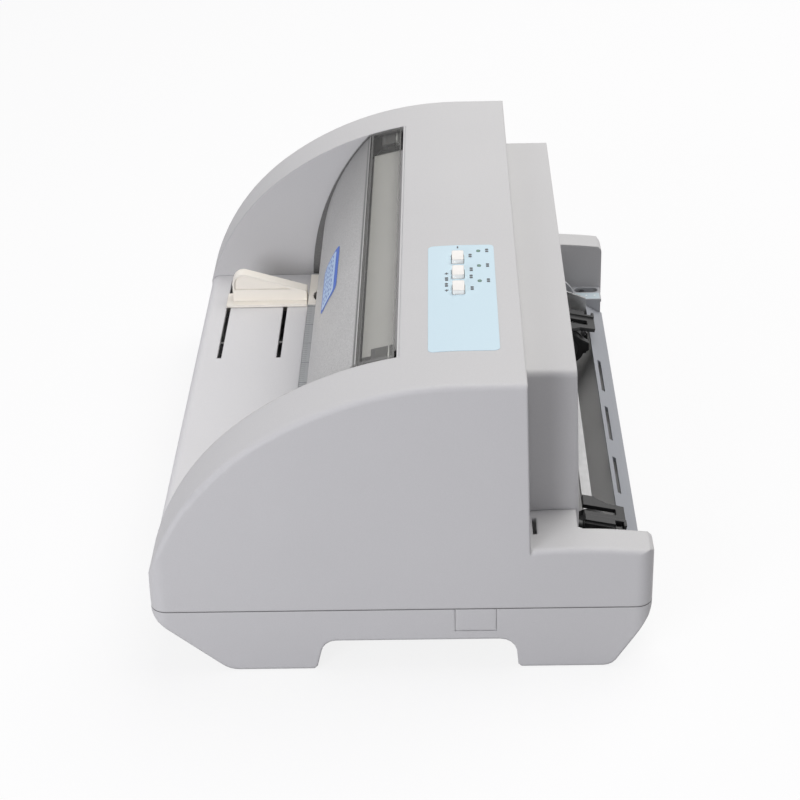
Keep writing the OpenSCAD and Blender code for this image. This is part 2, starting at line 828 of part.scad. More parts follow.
module plate_outline() {
    difference() {
        polygon(concat([[-63, 56], [-63, 67.4], [-48, 67.4]],
            arc(panel_arc_c, 112, 183, 156, 5),
            [[-20, 128], [28, 128], [36, 118], [beam_rear_y, 112], [86, 60], [119, 46.5], [119, 31],
            [114, support_z - 5.5], [80, support_z - 5.5], [77.5, frame_boss_z], [62, frame_boss_z],
            [60, frame_boss_z + 2],
            [-30, frame_boss_z + 2], [-32, frame_boss_z], [-52, frame_boss_z]]));
        translate([front_roller_y - 14, 46]) circle(3);
        translate([60, 80]) circle(9);
        translate([-20, 108]) circle(7);
    }
}

module side_plate(s) {
    x0 = s * plate_x - plate_t / 2;
    color("lightsteelblue") {
        difference() {
            slab_from(x0, x0 + plate_t) plate_outline();
            for (y = [front_roller_y, rear_roller_y]) {
                rod_x(feed_shaft_r + run_fit, x0 - 1, x0 + 3, y, roller_z);
                rod_x(feed_shaft_r - 0.5 + run_fit, x0 - 1, x0 + 3, y, pinch_z);
            }
            rod_x(guide_shaft_r, x0 - 1, x0 + 3, shaft_y, shaft_z);
            rod_x(support_r, x0 - 1, x0 + 3, support_y, support_z);
            rod_x(drive_square / 2 + run_fit, x0 - 1, x0 + 3, tractor_y, tractor_z);
            if (s > 0) rod_x(motor_pilot_r + 0.2, x0 - 1, x0 + 3, motor_y, motor_z);
        }
        // feet that stand on the tray's bosses
        for (y = frame_boss_y) difference() {
            box([s > 0 ? x0 - 12 : x0, y - 7, frame_boss_z],
                [s > 0 ? x0 + plate_t : x0 + 12 + plate_t, y + 7, frame_boss_z + plate_t]);
            translate([s * frame_boss_x, y, frame_boss_z - 5]) cylinder(r = 1.6, h = 10);
        }
        if (s > 0) gear_studs();
    }
}

transfer_c = meet([rear_roller_y, roller_z], gear_m * (roller_gear_teeth + transfer_teeth) / 2,
    [motor_y, motor_z], gear_m * (pinion_teeth + transfer_teeth) / 2);
bridge_c = [(front_roller_y + rear_roller_y) / 2, roller_z];
motor_c = [motor_y, motor_z];
tractor_c = [tractor_y, tractor_z];
train_dir = (tractor_c - motor_c) / train_run;
front_idler_c = motor_c + train_steps[0] * train_dir;
step_gear_c = front_idler_c + train_steps[1] * train_dir;
rear_idler_c = step_gear_c + train_steps[2] * train_dir;

// Studs on the right plate that the idle gears turn on
module gear_studs() {
    for (c = [transfer_c, bridge_c, front_idler_c])
        rod_x(stub_r, plate_x, gear_x + gear_face + 0.6, c[0], c[1]);
    for (c = [step_gear_c, rear_idler_c])
        rod_x(stub_r, plate_x, outer_gear_x + gear_face + 0.6, c[0], c[1]);
}

module left_plate() { side_plate(-1); }
module right_plate() { side_plate(1); }

// Steel beam: carries the belt motor and idler, guides the carriage's tail, holds the cable shelf
module rear_beam() {
    inner_x = plate_x - plate_t / 2;
    color("lightsteelblue") difference() {
        union() {
            box([-inner_x, beam_front_y, beam_z], [inner_x, beam_rear_y, beam_z + beam_t]);
            box([-inner_x, beam_front_y, beam_z], [inner_x, beam_front_y + beam_t, 112]);
            box([-60, beam_front_y, beam_z], [60, beam_front_y + beam_t, shelf_z + beam_t]);
            box([-60, 12, shelf_z], [60, beam_front_y + 1, shelf_z + beam_t]);
            for (s = [-1, 1]) scale([s, 1, 1])
                box([inner_x - beam_t, beam_front_y, beam_z], [inner_x, beam_rear_y, 108]);
        }
        translate([pulley_x, pulley_y, beam_z - 1]) cylinder(r = 6, h = 4);
        translate([-pulley_x, pulley_y, beam_z - 1]) cylinder(r = 2 + run_fit, h = 4);
        for (a = [45:90:359]) translate([pulley_x, pulley_y, beam_z - 1])
            rotate(a) translate([17, 0, 0]) cylinder(r = 1.6, h = 4);
        for (x = [-90:60:90]) translate([x, 64, beam_z - 1]) cylinder(r = 6, h = 4);
    }
}

module guide_shaft() {
    color("silver") rod_x(guide_shaft_r, -plate_x - 3, plate_x + 3, shaft_y, shaft_z);
}

// Flat platen bar under the print head, with a ribbed steel carrier
module platen() {
    inner_x = plate_x - plate_t / 2;
    color("dimgray") slab_x(2 * inner_x) {
        translate([platen_y - 5, 57]) square([10, 4.4]);
        translate([platen_y - 7, 45]) square([14, 2]);
        translate([platen_y - 1, 46]) square([2, 12]);
        translate([platen_y - 7, 45]) square([2, 8]);
        translate([platen_y + 5, 45]) square([2, 8]);
    }
}

// Lower sheet guide from the table to the tractors, open over rollers and platen
module paper_guide() {
    inner_x = plate_x - plate_t / 2;
    color("silver") difference() {
        slab_x(2 * inner_x) polygon([[-55.5, 61.4], [30, 61.4], [86, 49.5], [88, 45], [86.6, 45],
            [84.8, 48.5], [30, 60.2], [-54.5, 60.2], [-54.5, 54], [-55.5, 54]]);
        box([-inner_x - 1, platen_y - 7.5, 50], [inner_x + 1, platen_y + 7.5, 70]);
        for (y = [front_roller_y, rear_roller_y], x = roller_x)
            box([x - 17, y - 7.5, 50], [x + 17, y + 7.5, 70]);
    }
}

roller_x = [-116:58:116];

// ---- feed drive ----------------------------------------------------------------------

// Spur gear about X: straight-flanked teeth with backlash, on a hub with a bore
module gear_x_axis(teeth, x0, face, bore, phase) {
    pitch_r = gear_m * teeth / 2;
    root_r = pitch_r - 1.25 * gear_m;
    tip_r = pitch_r + 0.85 * gear_m;
    root_w = 0.95 * gear_m;
    tip_w = 0.35 * gear_m;
    translate([x0, 0, 0]) rotate([90, 0, 90]) difference() {
        linear_extrude(face) {
            circle(root_r);
            for (i = [0:teeth - 1]) rotate(phase + i * 360 / teeth)
                polygon([[root_r - 0.4, -root_w], [tip_r, -tip_w], [tip_r, tip_w],
                    [root_r - 0.4, root_w]]);
        }
        translate([0, 0, -1]) cylinder(r = bore, h = face + 2);
        if (teeth > 20) for (k = [0:4]) rotate(k * 72) translate([pitch_r * 0.6, 0, -1])
            cylinder(r = pitch_r * 0.16, h = face + 2);
    }
}

// Angle of the line from a to b, in the (y, z) plane
function bearing(a, b) = atan2(b[1] - a[1], b[0] - a[0]);

// Phase that meshes a gear at b with one at a, whose own phase is known
function mesh_phase(a, ta, pa, b, tb) =
    bearing(b, a) + 180 / tb + (bearing(a, b) - pa) * ta / tb;

rear_roller_c = [rear_roller_y, roller_z];
front_roller_c = [front_roller_y, roller_z];
transfer_phase = mesh_phase(motor_c, pinion_teeth, 0, transfer_c, transfer_teeth);
rear_phase = mesh_phase(transfer_c, transfer_teeth, transfer_phase, rear_roller_c,
    roller_gear_teeth);
bridge_phase = mesh_phase(rear_roller_c, roller_gear_teeth, rear_phase, bridge_c, bridge_teeth);
front_phase = mesh_phase(bridge_c, bridge_teeth, bridge_phase, front_roller_c,
    roller_gear_teeth);
front_idler_phase = mesh_phase(motor_c, pinion_teeth, 0, front_idler_c, idler_teeth);
step_phase = mesh_phase(front_idler_c, idler_teeth, front_idler_phase, step_gear_c,
    reduction_teeth);
rear_idler_phase = mesh_phase(step_gear_c, idler_teeth, step_phase, rear_idler_c, idler_teeth);
tractor_phase = mesh_phase(rear_idler_c, idler_teeth, rear_idler_phase, tractor_c,
    tractor_gear_teeth);

// Feed roller: steel shaft, five rubber sleeves and the gear outside the right plate
module feed_roller(c, phase) {
    color("dimgray") {
        for (x = roller_x) rod_x(roller_r, x - 15, x + 15, c[0], c[1]);
        rod_x(feed_shaft_r, -plate_x - 3, gear_x + gear_face, c[0], c[1]);
        translate([0, c[0], c[1]])
            gear_x_axis(roller_gear_teeth, gear_x, gear_face, feed_shaft_r - 0.2, phase);
    }
}

module front_feed_roller() { feed_roller(front_roller_c, front_phase); }
module rear_feed_roller() { feed_roller(rear_roller_c, rear_phase); }

module pinch_roller(y) {
    color("dimgray") {
        for (x = roller_x) rod_x(pinch_r, x - 9, x + 9, y, pinch_z);
        rod_x(feed_shaft_r - 0.5, -plate_x - 2, plate_x + 2, y, pinch_z);
    }
}

module front_pinch_roller() { pinch_roller(front_roller_y); }
module rear_pinch_roller() { pinch_roller(rear_roller_y); }

// Stepper motor: square cans with round shoulders
module feed_motor() {
    x1 = plate_x - plate_t / 2;
    color("gray") difference() {
        translate([0, motor_y, motor_z]) {
            slab_from(x1 - 30, x1) round_rect(2 * motor_half, 2 * motor_half, 5);
            rod_x(motor_pilot_r, x1 - 1, x1 + 1.2, 0, 0);
            slab_from(x1 - 31.5, x1 - 30) circle(12);
        }
        rod_x(2.5 + run_fit, x1 - 40, x1 + 10, motor_y, motor_z);
    }
}

module motor_pinion() {
    color("goldenrod") translate([0, motor_y, motor_z]) {
        gear_x_axis(pinion_teeth, gear_x, gear_face, 2.2, 0);
        rod_x(2.5, plate_x - 28, gear_x + gear_face, 0, 0);
    }
}

module idle_gear(c, teeth, phase, x0 = gear_x) {
    color("white") translate([0, c[0], c[1]])
        gear_x_axis(teeth, x0, gear_face, stub_r + run_fit, phase);
}

// Stepped gear: its small rim slows the tractors to the surface speed of the feed rollers
module step_gear() {
    idle_gear(step_gear_c, reduction_teeth, step_phase);
    idle_gear(step_gear_c, idler_teeth, step_phase, outer_gear_x);
    color("white") translate([0, step_gear_c[0], step_gear_c[1]]) difference() {
        rod_x(4.5, gear_x + gear_face - 1, outer_gear_x + 1, 0, 0);
        rod_x(stub_r + run_fit, gear_x, outer_gear_x + gear_face, 0, 0);
    }
}

module transfer_gear() { idle_gear(transfer_c, transfer_teeth, transfer_phase); }
module bridge_gear() { idle_gear(bridge_c, bridge_teeth, bridge_phase); }
module front_idler() { idle_gear(front_idler_c, idler_teeth, front_idler_phase); }
module rear_idler() { idle_gear(rear_idler_c, idler_teeth, rear_idler_phase, outer_gear_x); }

// ---- carriage drive ------------------------------------------------------------------

module carriage_motor() {
    color("gray") translate([pulley_x, pulley_y, beam_z + beam_t]) difference() {
        union() {
            linear_extrude(3) round_rect(34, 34, 4);
            cylinder(r = 16.5, h = 32);
            translate([0, 0, 31]) cylinder(r = 8, h = 3);
        }
        translate([0, 0, -1]) cylinder(r = 2 + run_fit, h = 24);
        for (a = [45:90:359]) rotate(a) translate([17, 0, -1]) cylinder(r = 1.5, h = 6);
    }
}

// Toothed pulley with two flanges on its spindle
module pulley(x, top) {
    color("silver") translate([x, pulley_y, 0]) difference() {
        union() {
            translate([0, 0, pulley_z]) cylinder(r = pulley_r - 0.35, h = belt_w + 3);
            translate([0, 0, pulley_z]) cylinder(r = pulley_r + 2, h = 1);
            translate([0, 0, pulley_z + belt_w + 2]) cylinder(r = pulley_r + 2, h = 1);
            cylinder_between(2, pulley_z, top);
            cylinder_between(3.2, pulley_z, beam_z - 0.4);
        }
        for (k = [0:17]) rotate(k * 20 + 10) translate([pulley_r - 0.35, 0, pulley_z + 1.1])
            cylinder(r = 0.45, h = belt_w + 0.8, $fn = 16);
    }
}

module cylinder_between(r, z0, z1) {
    translate([0, 0, z0]) cylinder(r = r, h = z1 - z0);
}

module drive_pulley() { pulley(pulley_x, beam_z + beam_t + 22); }
module idler_pulley() {
    pulley(-pulley_x, beam_z + beam_t + 1);
    color("silver") translate([-pulley_x, pulley_y, beam_z + beam_t + 0.4]) cylinder(r = 3.4, h = 1);
}

module timing_belt() {
    color("black") translate([0, pulley_y, belt_z]) linear_extrude(belt_w) difference() {
        belt_loop(pulley_r + belt_t);
        belt_loop(pulley_r);
    }
}

module belt_loop(r) {
    square([2 * pulley_x, 2 * r], center = true);
    for (s = [-1, 1]) translate([s * pulley_x, 0]) circle(r);
}

// Carriage: bearing block on the shaft, a pad on the beam and a clip on the belt
module carriage() {
    front_run_y = pulley_y - pulley_r - belt_t / 2;
    color("dimgray") difference() {
        translate([carriage_x, 0, 0]) {
            slab_x(2 * carriage_half) difference() {
                polygon([[-6, 78], [24, 78], [30, 84], [30, 106], [20, 106], [4, 104], [-6, 104]]);
                translate([shaft_y, shaft_z]) circle(guide_shaft_r + 0.6);
            }
            for (s = [-1, 1]) difference() {
                rod_x(8, s * (carriage_half - 4) - 4, s * (carriage_half - 4) + 4, shaft_y, shaft_z);
                rod_x(guide_shaft_r, -60, 60, shaft_y, shaft_z);
            }
            // pad that slides along the beam's front flange
            box([-12, 28, 100.2], [12, beam_front_y - clear, 106]);
            // belt clip on an arm under the beam
            box([-8, 28, belt_z - 2.5], [8, front_run_y + 4, beam_z - clear]);
            // side walls that hold the cartridge
            for (s = [-1, 1]) box([s * (carriage_half - 1.5) - 1.5, -30, 96],
                [s * (carriage_half - 1.5) + 1.5, 20, 106]);
        }
        rod_x(guide_shaft_r + run_fit, -side_x, side_x, shaft_y, shaft_z);
        box([-side_x, front_run_y - belt_t / 2 - 0.4, belt_z - 0.4],
            [side_x, front_run_y + belt_t / 2 + 0.4, belt_z + belt_w + 4]);
    }
}

// Print head: needle nose, finned body and its connector
module print_head() {
    color("darkgray") translate([carriage_x, 0, 0]) {
        box([-5, platen_y - 6, 63.4], [5, platen_y + 6, 72]);
        box([-12, platen_y - 8, 71], [12, platen_y + 9.7, 78]);
        for (z = [80:3.5:101]) box([-21, platen_y - 13, z], [21, -6.3, z + 1.6]);
        box([-17, platen_y - 10, 76], [17, -6.3, 104]);
        box([-10, -9, 92], [10, -6.2, 103.5]);
    }
}

// Ribbon cartridge: flat box with two arms that carry the ribbon past the nose
module ribbon_cartridge() {
    color("darkslategray") translate([carriage_x, 0, 0]) difference() {
        union() {
            translate([0, -13, 106.3]) linear_extrude(13) round_rect(86, 52, 6);
            for (s = [-1, 1]) scale([s, 1, 1]) slab_from(26.4, 29.6) polygon([[-38, 107],
                [-20, 107], [platen_y + 3, 67], [platen_y - 4, 64.6], [platen_y - 9, 67]]);
            // the ribbon itself, across the nose
            box([-27, platen_y - 8, 64.6], [27, platen_y - 7.2, 70.6]);
        }
        translate([28, -14, 100]) cylinder(r = 3 + run_fit, h = 30);
        for (y = [-30:6:0]) box([-36, y, 118.6], [0, y + 2, 121]);
    }
}

module ribbon_knob() {
    color("gray") translate([carriage_x + 28, -14, 110]) {
        cylinder(r = 3, h = 10);
        translate([0, 0, 9.6]) difference() {
            cylinder(r = 9, h = 6);
            for (k = [0:11]) rotate(k * 30) translate([10, 0, -1]) cylinder(r = 1.8, h = 8, $fn = 24);
        }
    }
}

// Flat flex from the cable shelf down in one rolling loop to the carriage
module head_cable() {
    y0 = 13.5;
    loop_x = -88;
    low_z = 108;
    loop_r = (shelf_z - 0.6 - low_z) / 2;
    color("whitesmoke") translate([0, y0 + cable_w, 0]) rotate([90, 0, 0]) linear_extrude(cable_w) {
        translate([loop_x, low_z]) square([80, 0.5]);
        translate([loop_x, shelf_z - 1.1]) square([120, 0.5]);
        difference() {
            translate([loop_x, low_z + loop_r]) circle(loop_r);
            translate([loop_x, low_z + loop_r]) circle(loop_r - 0.5);
            translate([loop_x, low_z - 1]) square([2 * loop_r, 3 * loop_r]);
        }
    }
}

// ---- push tractor --------------------------------------------------------------------

module tractor_drive_shaft() {
    color("silver") {
        box([-plate_x + 2, tractor_y - drive_square / 2 * 0.7, tractor_z - drive_square / 2 * 0.7],
            [plate_x - 2, tractor_y + drive_square / 2 * 0.7, tractor_z + drive_square / 2 * 0.7]);
        for (s = [-1, 1]) rod_x(drive_square / 2, s > 0 ? plate_x - 6 : -plate_x - 3,
            s > 0 ? outer_gear_x + gear_face : -plate_x + 6, tractor_y, tractor_z);
        translate([0, tractor_y, tractor_z]) gear_x_axis(tractor_gear_teeth, outer_gear_x,
            gear_face, drive_square / 2 - 0.2, tractor_phase);
    }
}

module tractor_rail() {
    color("silver") rod_x(support_r, -plate_x - 1.6, plate_x + 1.6, support_y, support_z);
}

// Tractor body: two cheeks round the sprocket, a floor and the ears of the flap hinge
module tractor_body(row, s) {
    top_r = sprocket_r - 1.2;
    color("black") difference() {
        translate([row, 0, 0]) {
            for (k = [-1, 1]) slab_from(k * 7 - 2.3, k * 7 + 2.3) {
                translate([tractor_y, tractor_z]) circle(top_r);
                translate([support_y, support_z]) circle(6.5);
                polygon([[support_y, support_z + 6.5], [tractor_y - 2, tractor_z + top_r - 0.2],
                    [tractor_y + 2, tractor_z + top_r - 0.2], [118, 38], [118, 33],
                    [tractor_y, tractor_z - top_r], [support_y, support_z - 6.5]]);
            }
            box([-7, support_y - 4, support_z - 8], [7, support_y + 2, support_z - 4.6]);
            box([-7, support_y - 6.2, support_z - 4], [7, support_y - 4.2, support_z + 4]);
            // outer wall with the hinge ears
            scale([s, 1, 1]) translate([0, tractor_y, tractor_z]) {
                box([9, -14, 2], [12.2, 13, 8]);
                rotate([-flap_tilt, 0, 0]) for (y = [-13, 9]) {
                    box([11, y, 4], [15.4, y + 4, 13]);
                    translate([13, y, 13]) rotate([-90, 0, 0]) cylinder(r = 2.4, h = 4);
                }
            }
        }
        rod_x(hub_r + run_fit, row - 20, row + 20, tractor_y, tractor_z);
        rod_x(support_r + run_fit, row - 20, row + 20, support_y, support_z);
        translate([row + s * 13, tractor_y, tractor_z]) rotate([-flap_tilt, 0, 0])
            translate([0, -20, 13]) rotate([-90, 0, 0]) cylinder(r = 1 + run_fit, h = 40);
    }
}

module left_tractor() { tractor_body(left_row_x, -1); }
module right_tractor() { tractor_body(right_row_x, 1); }

// Sprocket wheel: six tapered pins at the form's hole pitch, square bore on the drive shaft
module sprocket(row) {
    shaft_side = drive_square * 0.7;
    color("dimgray") translate([row, tractor_y, tractor_z]) difference() {
        union() {
            rod_x(sprocket_r - 0.6, -3.4, 3.4, 0, 0);
            rod_x(hub_r, -9, 9, 0, 0);
            for (k = [0:sprocket_pins - 1]) rotate([k * 360 / sprocket_pins, 0, 0]) {
                cylinder(r = pin_r, h = sprocket_r + pin_reach * 0.5);
                cylinder(r = pin_r * 0.6, h = sprocket_r + pin_reach);
            }
        }
        box(-[10, shaft_side / 2 + run_fit, shaft_side / 2 + run_fit],
            [10, shaft_side / 2 + run_fit, shaft_side / 2 + run_fit]);
    }
}

module left_sprocket() { sprocket(left_row_x); }
module right_sprocket() { sprocket(right_row_x); }

// Paper flap of a tractor: notched plate with a pin window, hinged on its outer edge
module tractor_flap(row, s) {
    knuckle = 8.6;
    ear_end = 13;
    color("black") translate([row, tractor_y, tractor_z]) rotate([-flap_tilt, 0, 0])
        scale([s, 1, 1]) {
            difference() {
                union() {
                    translate([0, 0, 14]) linear_extrude(2.4) polygon([[-13, -8], [-13, -2], [-8, 5],
                        [-7, 15], [13, 15], [13, -8]]);
                    box([8, -8, 14], [14, 15, 17.4]);
                }
                // window for the pins, open at the front edge
                box([-3, -9, 13], [3, 10, 18]);
                // notch round the rear ear
                box([10, knuckle, 13], [16, ear_end + clear, 18]);
            }
            translate([13, -knuckle, 13]) rod_y(2.4, 2 * knuckle);
            box([10.6, -8, 13], [15.4, 8, 16]);
            // hinge pin, running in the ears
            translate([13, -ear_end, 13]) rod_y(1, 2 * ear_end);
        }
}

module left_tractor_flap() { tractor_flap(left_row_x, -1); }
module right_tractor_flap() { tractor_flap(right_row_x, 1); }

// ---- electrics -----------------------------------------------------------------------

module main_board() {
    top = main_board_z + 1.6;
    color("darkgreen") {
        box([board_x[0], board_y[0], main_board_z], [board_x[1], board_y[1], top]);
        // printer port and serial port
        box([-side_x + 0.6, printer_port_y[0], port_z], [-180, printer_port_y[1], 36.6]);
        box([-side_x + 0.6, serial_port_y[0], port_z], [-180, serial_port_y[1], 35]);
        // chips, capacitors and cable headers
        for (x = [-150:24:-78]) box([x - 8, -20, top], [x + 8, -4, top + 2.5]);
        for (x = [-140:20:-60]) translate([x, 20, top]) cylinder(r = 5, h = 14);
        box([-70, 40, top], [-40, 46, top + 9]);
        // posts that stand on the pan
        for (x = [board_x[0] + 5, board_x[1] - 4], y = [board_y[0] + 4, board_y[1] - 4])
            translate([x, y, pan_z + tray_floor]) cylinder(r = 3, h = main_board_z - 18);
    }
}

module power_supply() {
    color("goldenrod") {
        box([-191.8, -20, 44], [-190.2, 62, 122]);
        box([-190.2, 4, 60], [-164, 36, 92]);
        for (z = [52, 106]) translate([-190.2, -8, z]) rotate([0, 90, 0]) cylinder(r = 7, h = 24);
        for (k = [0:5]) box([-190.2, 42 + 3 * k, 96], [-168, 43.2 + 3 * k, 118]);
        box([-190.2, 42, 94], [-186, 58.2, 96]);
    }
}

// Inlet outline: a rectangle with its two upper corners cut
module inlet_outline(size) {
    w = size[0] / 2;
    h = size[1] / 2;
    cut = 4;
    polygon([[-w, -h], [w, -h], [w, h - cut], [w - cut, h], [-w + cut, h], [-w, h - cut]]);
}

// Three-pin inlet: flange outside, cup with three blades
module ac_inlet() {
    color("black") translate([0, inlet_y, inlet_z]) difference() {
        union() {
            slab_from(-side_x, -side_x + 2.4) inlet_outline(inlet_flange);
            slab_from(-side_x + 2.4, -side_x + 24) inlet_outline(inlet_cup);
        }
        slab_from(-side_x - 1, -side_x + 17) inlet_outline(inlet_mouth);
    }
    color("silver") for (p = [[-6.5, -1.5], [0, 2.5], [6.5, -1.5]])
        box([-side_x + 3, inlet_y + p[0] - 1, inlet_z + p[1] - 2.5],
            [-side_x + 20, inlet_y + p[0] + 1, inlet_z + p[1] + 2.5]);
}

module power_switch() {
    color("black") translate([0, rocker_y, rocker_z]) difference() {
        slab_from(-side_x, -side_x + 18) square(rocker_frame, center = true);
        slab_from(-side_x - 1, -side_x + 12) square(rocker_mouth, center = true);
        translate([rocker_pin_x, -11, 0]) rod_y(1 + run_fit, 22);
    }
}

module rod_y(r, h) {
    rotate([-90, 0, 0]) cylinder(r = r, h = h);
}

module power_rocker() {
    color("dimgray") translate([rocker_pin_x, rocker_y, rocker_z]) {
        translate([0, -9.8, 0]) rod_y(1, 19.6);
        intersection() {
            translate([0, -8.6, 0]) rod_y(4.7, 17.2);
            translate([-4.4, -8.6, -4.6]) cube([9, 17.2, 9.2]);
        }
    }
}

base_tray();
upper_shell();
rear_hood();
front_table();
rubber_feet();
case_screws();
control_label();
led_lenses();
panel_board();
select_button();
load_button();
feed_button();
front_cover();
hinge_bosses();
hinge_pins();
edge_guide();
scale_bar();
bar_bracket();
lever_ledge();
release_lever();
rear_guide();
left_plate();
right_plate();
rear_beam();
guide_shaft();
platen();
paper_guide();
front_feed_roller();
rear_feed_roller();
front_pinch_roller();
rear_pinch_roller();
feed_motor();
motor_pinion();
transfer_gear();
bridge_gear();
front_idler();
step_gear();
rear_idler();
carriage_motor();
drive_pulley();
idler_pulley();
timing_belt();
carriage();
print_head();
ribbon_cartridge();
ribbon_knob();
head_cable();
tractor_drive_shaft();
tractor_rail();
left_tractor();
right_tractor();
left_sprocket();
right_sprocket();
left_tractor_flap();
right_tractor_flap();
main_board();
power_supply();
ac_inlet();
power_switch();
power_rocker();
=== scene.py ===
"""Looks of a flat-bed dot matrix printer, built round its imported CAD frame.

Blender's own values are in metres, +X is the printer's right and -Y its front.
"""

import math

import bpy
from mathutils import Matrix, Vector


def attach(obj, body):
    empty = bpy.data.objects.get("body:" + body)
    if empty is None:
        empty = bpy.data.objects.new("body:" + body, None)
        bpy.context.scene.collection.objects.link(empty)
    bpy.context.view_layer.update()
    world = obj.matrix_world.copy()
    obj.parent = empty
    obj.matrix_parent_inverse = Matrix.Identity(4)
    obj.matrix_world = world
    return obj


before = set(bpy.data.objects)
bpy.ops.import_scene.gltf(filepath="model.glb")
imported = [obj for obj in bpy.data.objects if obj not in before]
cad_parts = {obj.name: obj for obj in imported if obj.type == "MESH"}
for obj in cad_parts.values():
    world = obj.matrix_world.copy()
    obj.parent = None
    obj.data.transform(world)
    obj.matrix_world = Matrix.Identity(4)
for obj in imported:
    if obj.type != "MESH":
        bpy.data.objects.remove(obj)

bl_info = {
    "name": "Dot matrix printer looks",
    "version": (1, 0, 0),
    "blender": (4, 5, 0),
    "location": "3D View > Sidebar > Printer",
    "description": "Finishes the printer's case, cover, controls, mechanism and studio",
    "category": "Object",
}

MM = 0.001

# Places taken from the CAD source, in millimetres
BODY_TOP = 169.5  # height of the flat rear part of the crown
CROWN_Y = 34.4  # depth at which the crown starts to fall
CROWN_R = 190.5
LABEL_LIFT = 0.30  # thickness of the key label
SEAM_Z = 37.7  # parting line between upper shell and tray
PANEL_ARC = (63.6, 77.7)  # middle of the arc of the cover's front, as y and z
PANEL_ARC_R = 118.7
STICKER_TURN = 152.4  # where the sticker's middle is on that arc, in degrees
RIB_Y = -20.5  # rib across the cover, between its front and its clear strip
COVER_REAR_Y = -0.8
COVER_CHEEK_X = 154.6  # inner side of the cover's curved cheeks
MOUTH_X = 158.0  # half the width of the case's mouth behind the cover
MOUTH_REAR_Y = 1.5
LEVER_LEDGE_Z = 41.5
SCALE_SHORT_Y = -59.8  # how far back the short and the long marks of the scale reach
SCALE_LONG_Y = -58.0

# Pieces that the scene adds, in millimetres
COVER_LEDGE_Y = (-18.0, 1.3)
COVER_LEDGE_HALF = 136.5
COVER_LEDGE_DROP = 7.3  # below the crown, so that the cover's rear edge swings past it
COVER_LEDGE_THICK = 3.0
LIP_WIDTH = 1.0
LIP_DROP = (0.1, 0.7)  # top and underside of the lip, below the crown
FILM_GAP = 0.05  # between one printed sheet and the next

# Pairs of plain marks on the key label, and the places and ways of its two arrows
MARK_PAIRS = (
    (39.7, 48.9), (58.7, 48.9), (77.6, 48.9), (46.0, 39.6), (63.6, 39.9),
    (72.6, 39.7), (86.9, 40.0), (82.2, 26.3), (75.0, 26.4),
)
MARK_ARROWS = ((68.4, -1), (88.8, 1))
ARROW_Y = 26.4
MARK_DASH = ((33.6, 36.4), (32.4, 33.2))

# Grain of parts from a polished mould, in metres
POLISHED_GRAIN = 0.0004
POLISHED_DEPTH = 0.00001
FINER = 0.8  # the table's and the bay's grain beside the case's
HOOD_EDGE = 0.55  # the hood's edges beside the case's

# Range that a noise field mostly stays in
SPREAD = (0.3, 0.7)

# The photograph's camera: place in millimetres, view direction and the image's right
CAMERA_PLACE = (1044.57, 25.5, 637.30)
CAMERA_VIEW = (-0.87266, -0.02342, -0.48775)
CAMERA_RIGHT = (-0.01308, 0.99961, -0.02459)
CAMERA_LENS = 89.676
CAMERA_SENSOR = 36.0
CAMERA_CLIP = (0.05, 50.0)

# Lamps: place, diameter and tone, in metres, and the point that both face
KEY_LAMP = ((-0.55, 0.55, 1.75), 2.0, (1.0, 0.985, 0.955))
FILL_LAMP = ((1.35, -0.75, 0.48), 0.9, (0.955, 0.95, 1.0))
LAMP_TARGET = (0.0, 0.0, 0.1)
FLOOR_SIZE = 12.0
WHITE = (1.0, 1.0, 1.0)
AMBIENT_TONE = (0.92, 0.90, 1.0)


# ---- settings ---------------------------------------------------------------------------


def colour(name, description, default):
    return bpy.props.FloatVectorProperty(
        name=name, description=description, subtype="COLOR", size=3, min=0, max=1, default=default
    )


def length(name, description, default, top):
    return bpy.props.FloatProperty(
        name=name, description=description, subtype="DISTANCE", unit="LENGTH",
        min=0, max=top, default=default, precision=5,
    )


def share(name, description, default, top=1.0):
    return bpy.props.FloatProperty(
        name=name, description=description, min=0, max=top, default=default
    )


class CaseSettings(bpy.types.PropertyGroup):
    """Moulded case parts"""

    shell: colour("Shell", "Colour of shell, hood and tray", (0.62, 0.62, 0.615))
    table: colour("Table", "Colour of the form table", (0.72, 0.72, 0.72))
    inner: colour("Bay", "Colour of the form ramp in the rear bay", (0.33, 0.345, 0.37))
    ledge: colour("Ledge", "Colour of the release lever's ledge", (0.50, 0.515, 0.53))
    grain: length("Grain", "Width of one grain of the eroded texture", 0.00055, 0.01)
    depth: length("Grain depth", "Height of the eroded texture", 0.00004, 0.001)
    edge: length("Edge", "Radius of the softened moulded edges", 0.0018, 0.01)


class CoverSettings(bpy.types.PropertyGroup):
    """Smoke-tinted cover"""

    haze: colour("Haze", "Colour that the frosted front scatters", (0.56, 0.56, 0.545))
    tint: colour("Tint", "Colour of what is seen through the clear strip", (0.925, 0.925, 0.91))
    body: share("Body", "Share of scattered light on the frosted front", 0.80)
    clear: share("Clear", "Share of scattered light on the clear strip", 0.05)
    sparkle: share("Sparkle", "Strength of the fine speckle", 0.32)


class PrintSettings(bpy.types.PropertyGroup):
    """Printed films and marks"""

    film: colour("Film", "Ground colour of the key label", (0.62, 0.785, 0.855))
    ink: colour("Ink", "Colour of the plain marks", (0.10, 0.11, 0.12))
    border: colour("Border", "Border of the sticker on the cover", (0.02, 0.12, 0.58))
    paper: colour("Paper", "Middle of the sticker", (0.50, 0.66, 0.88))


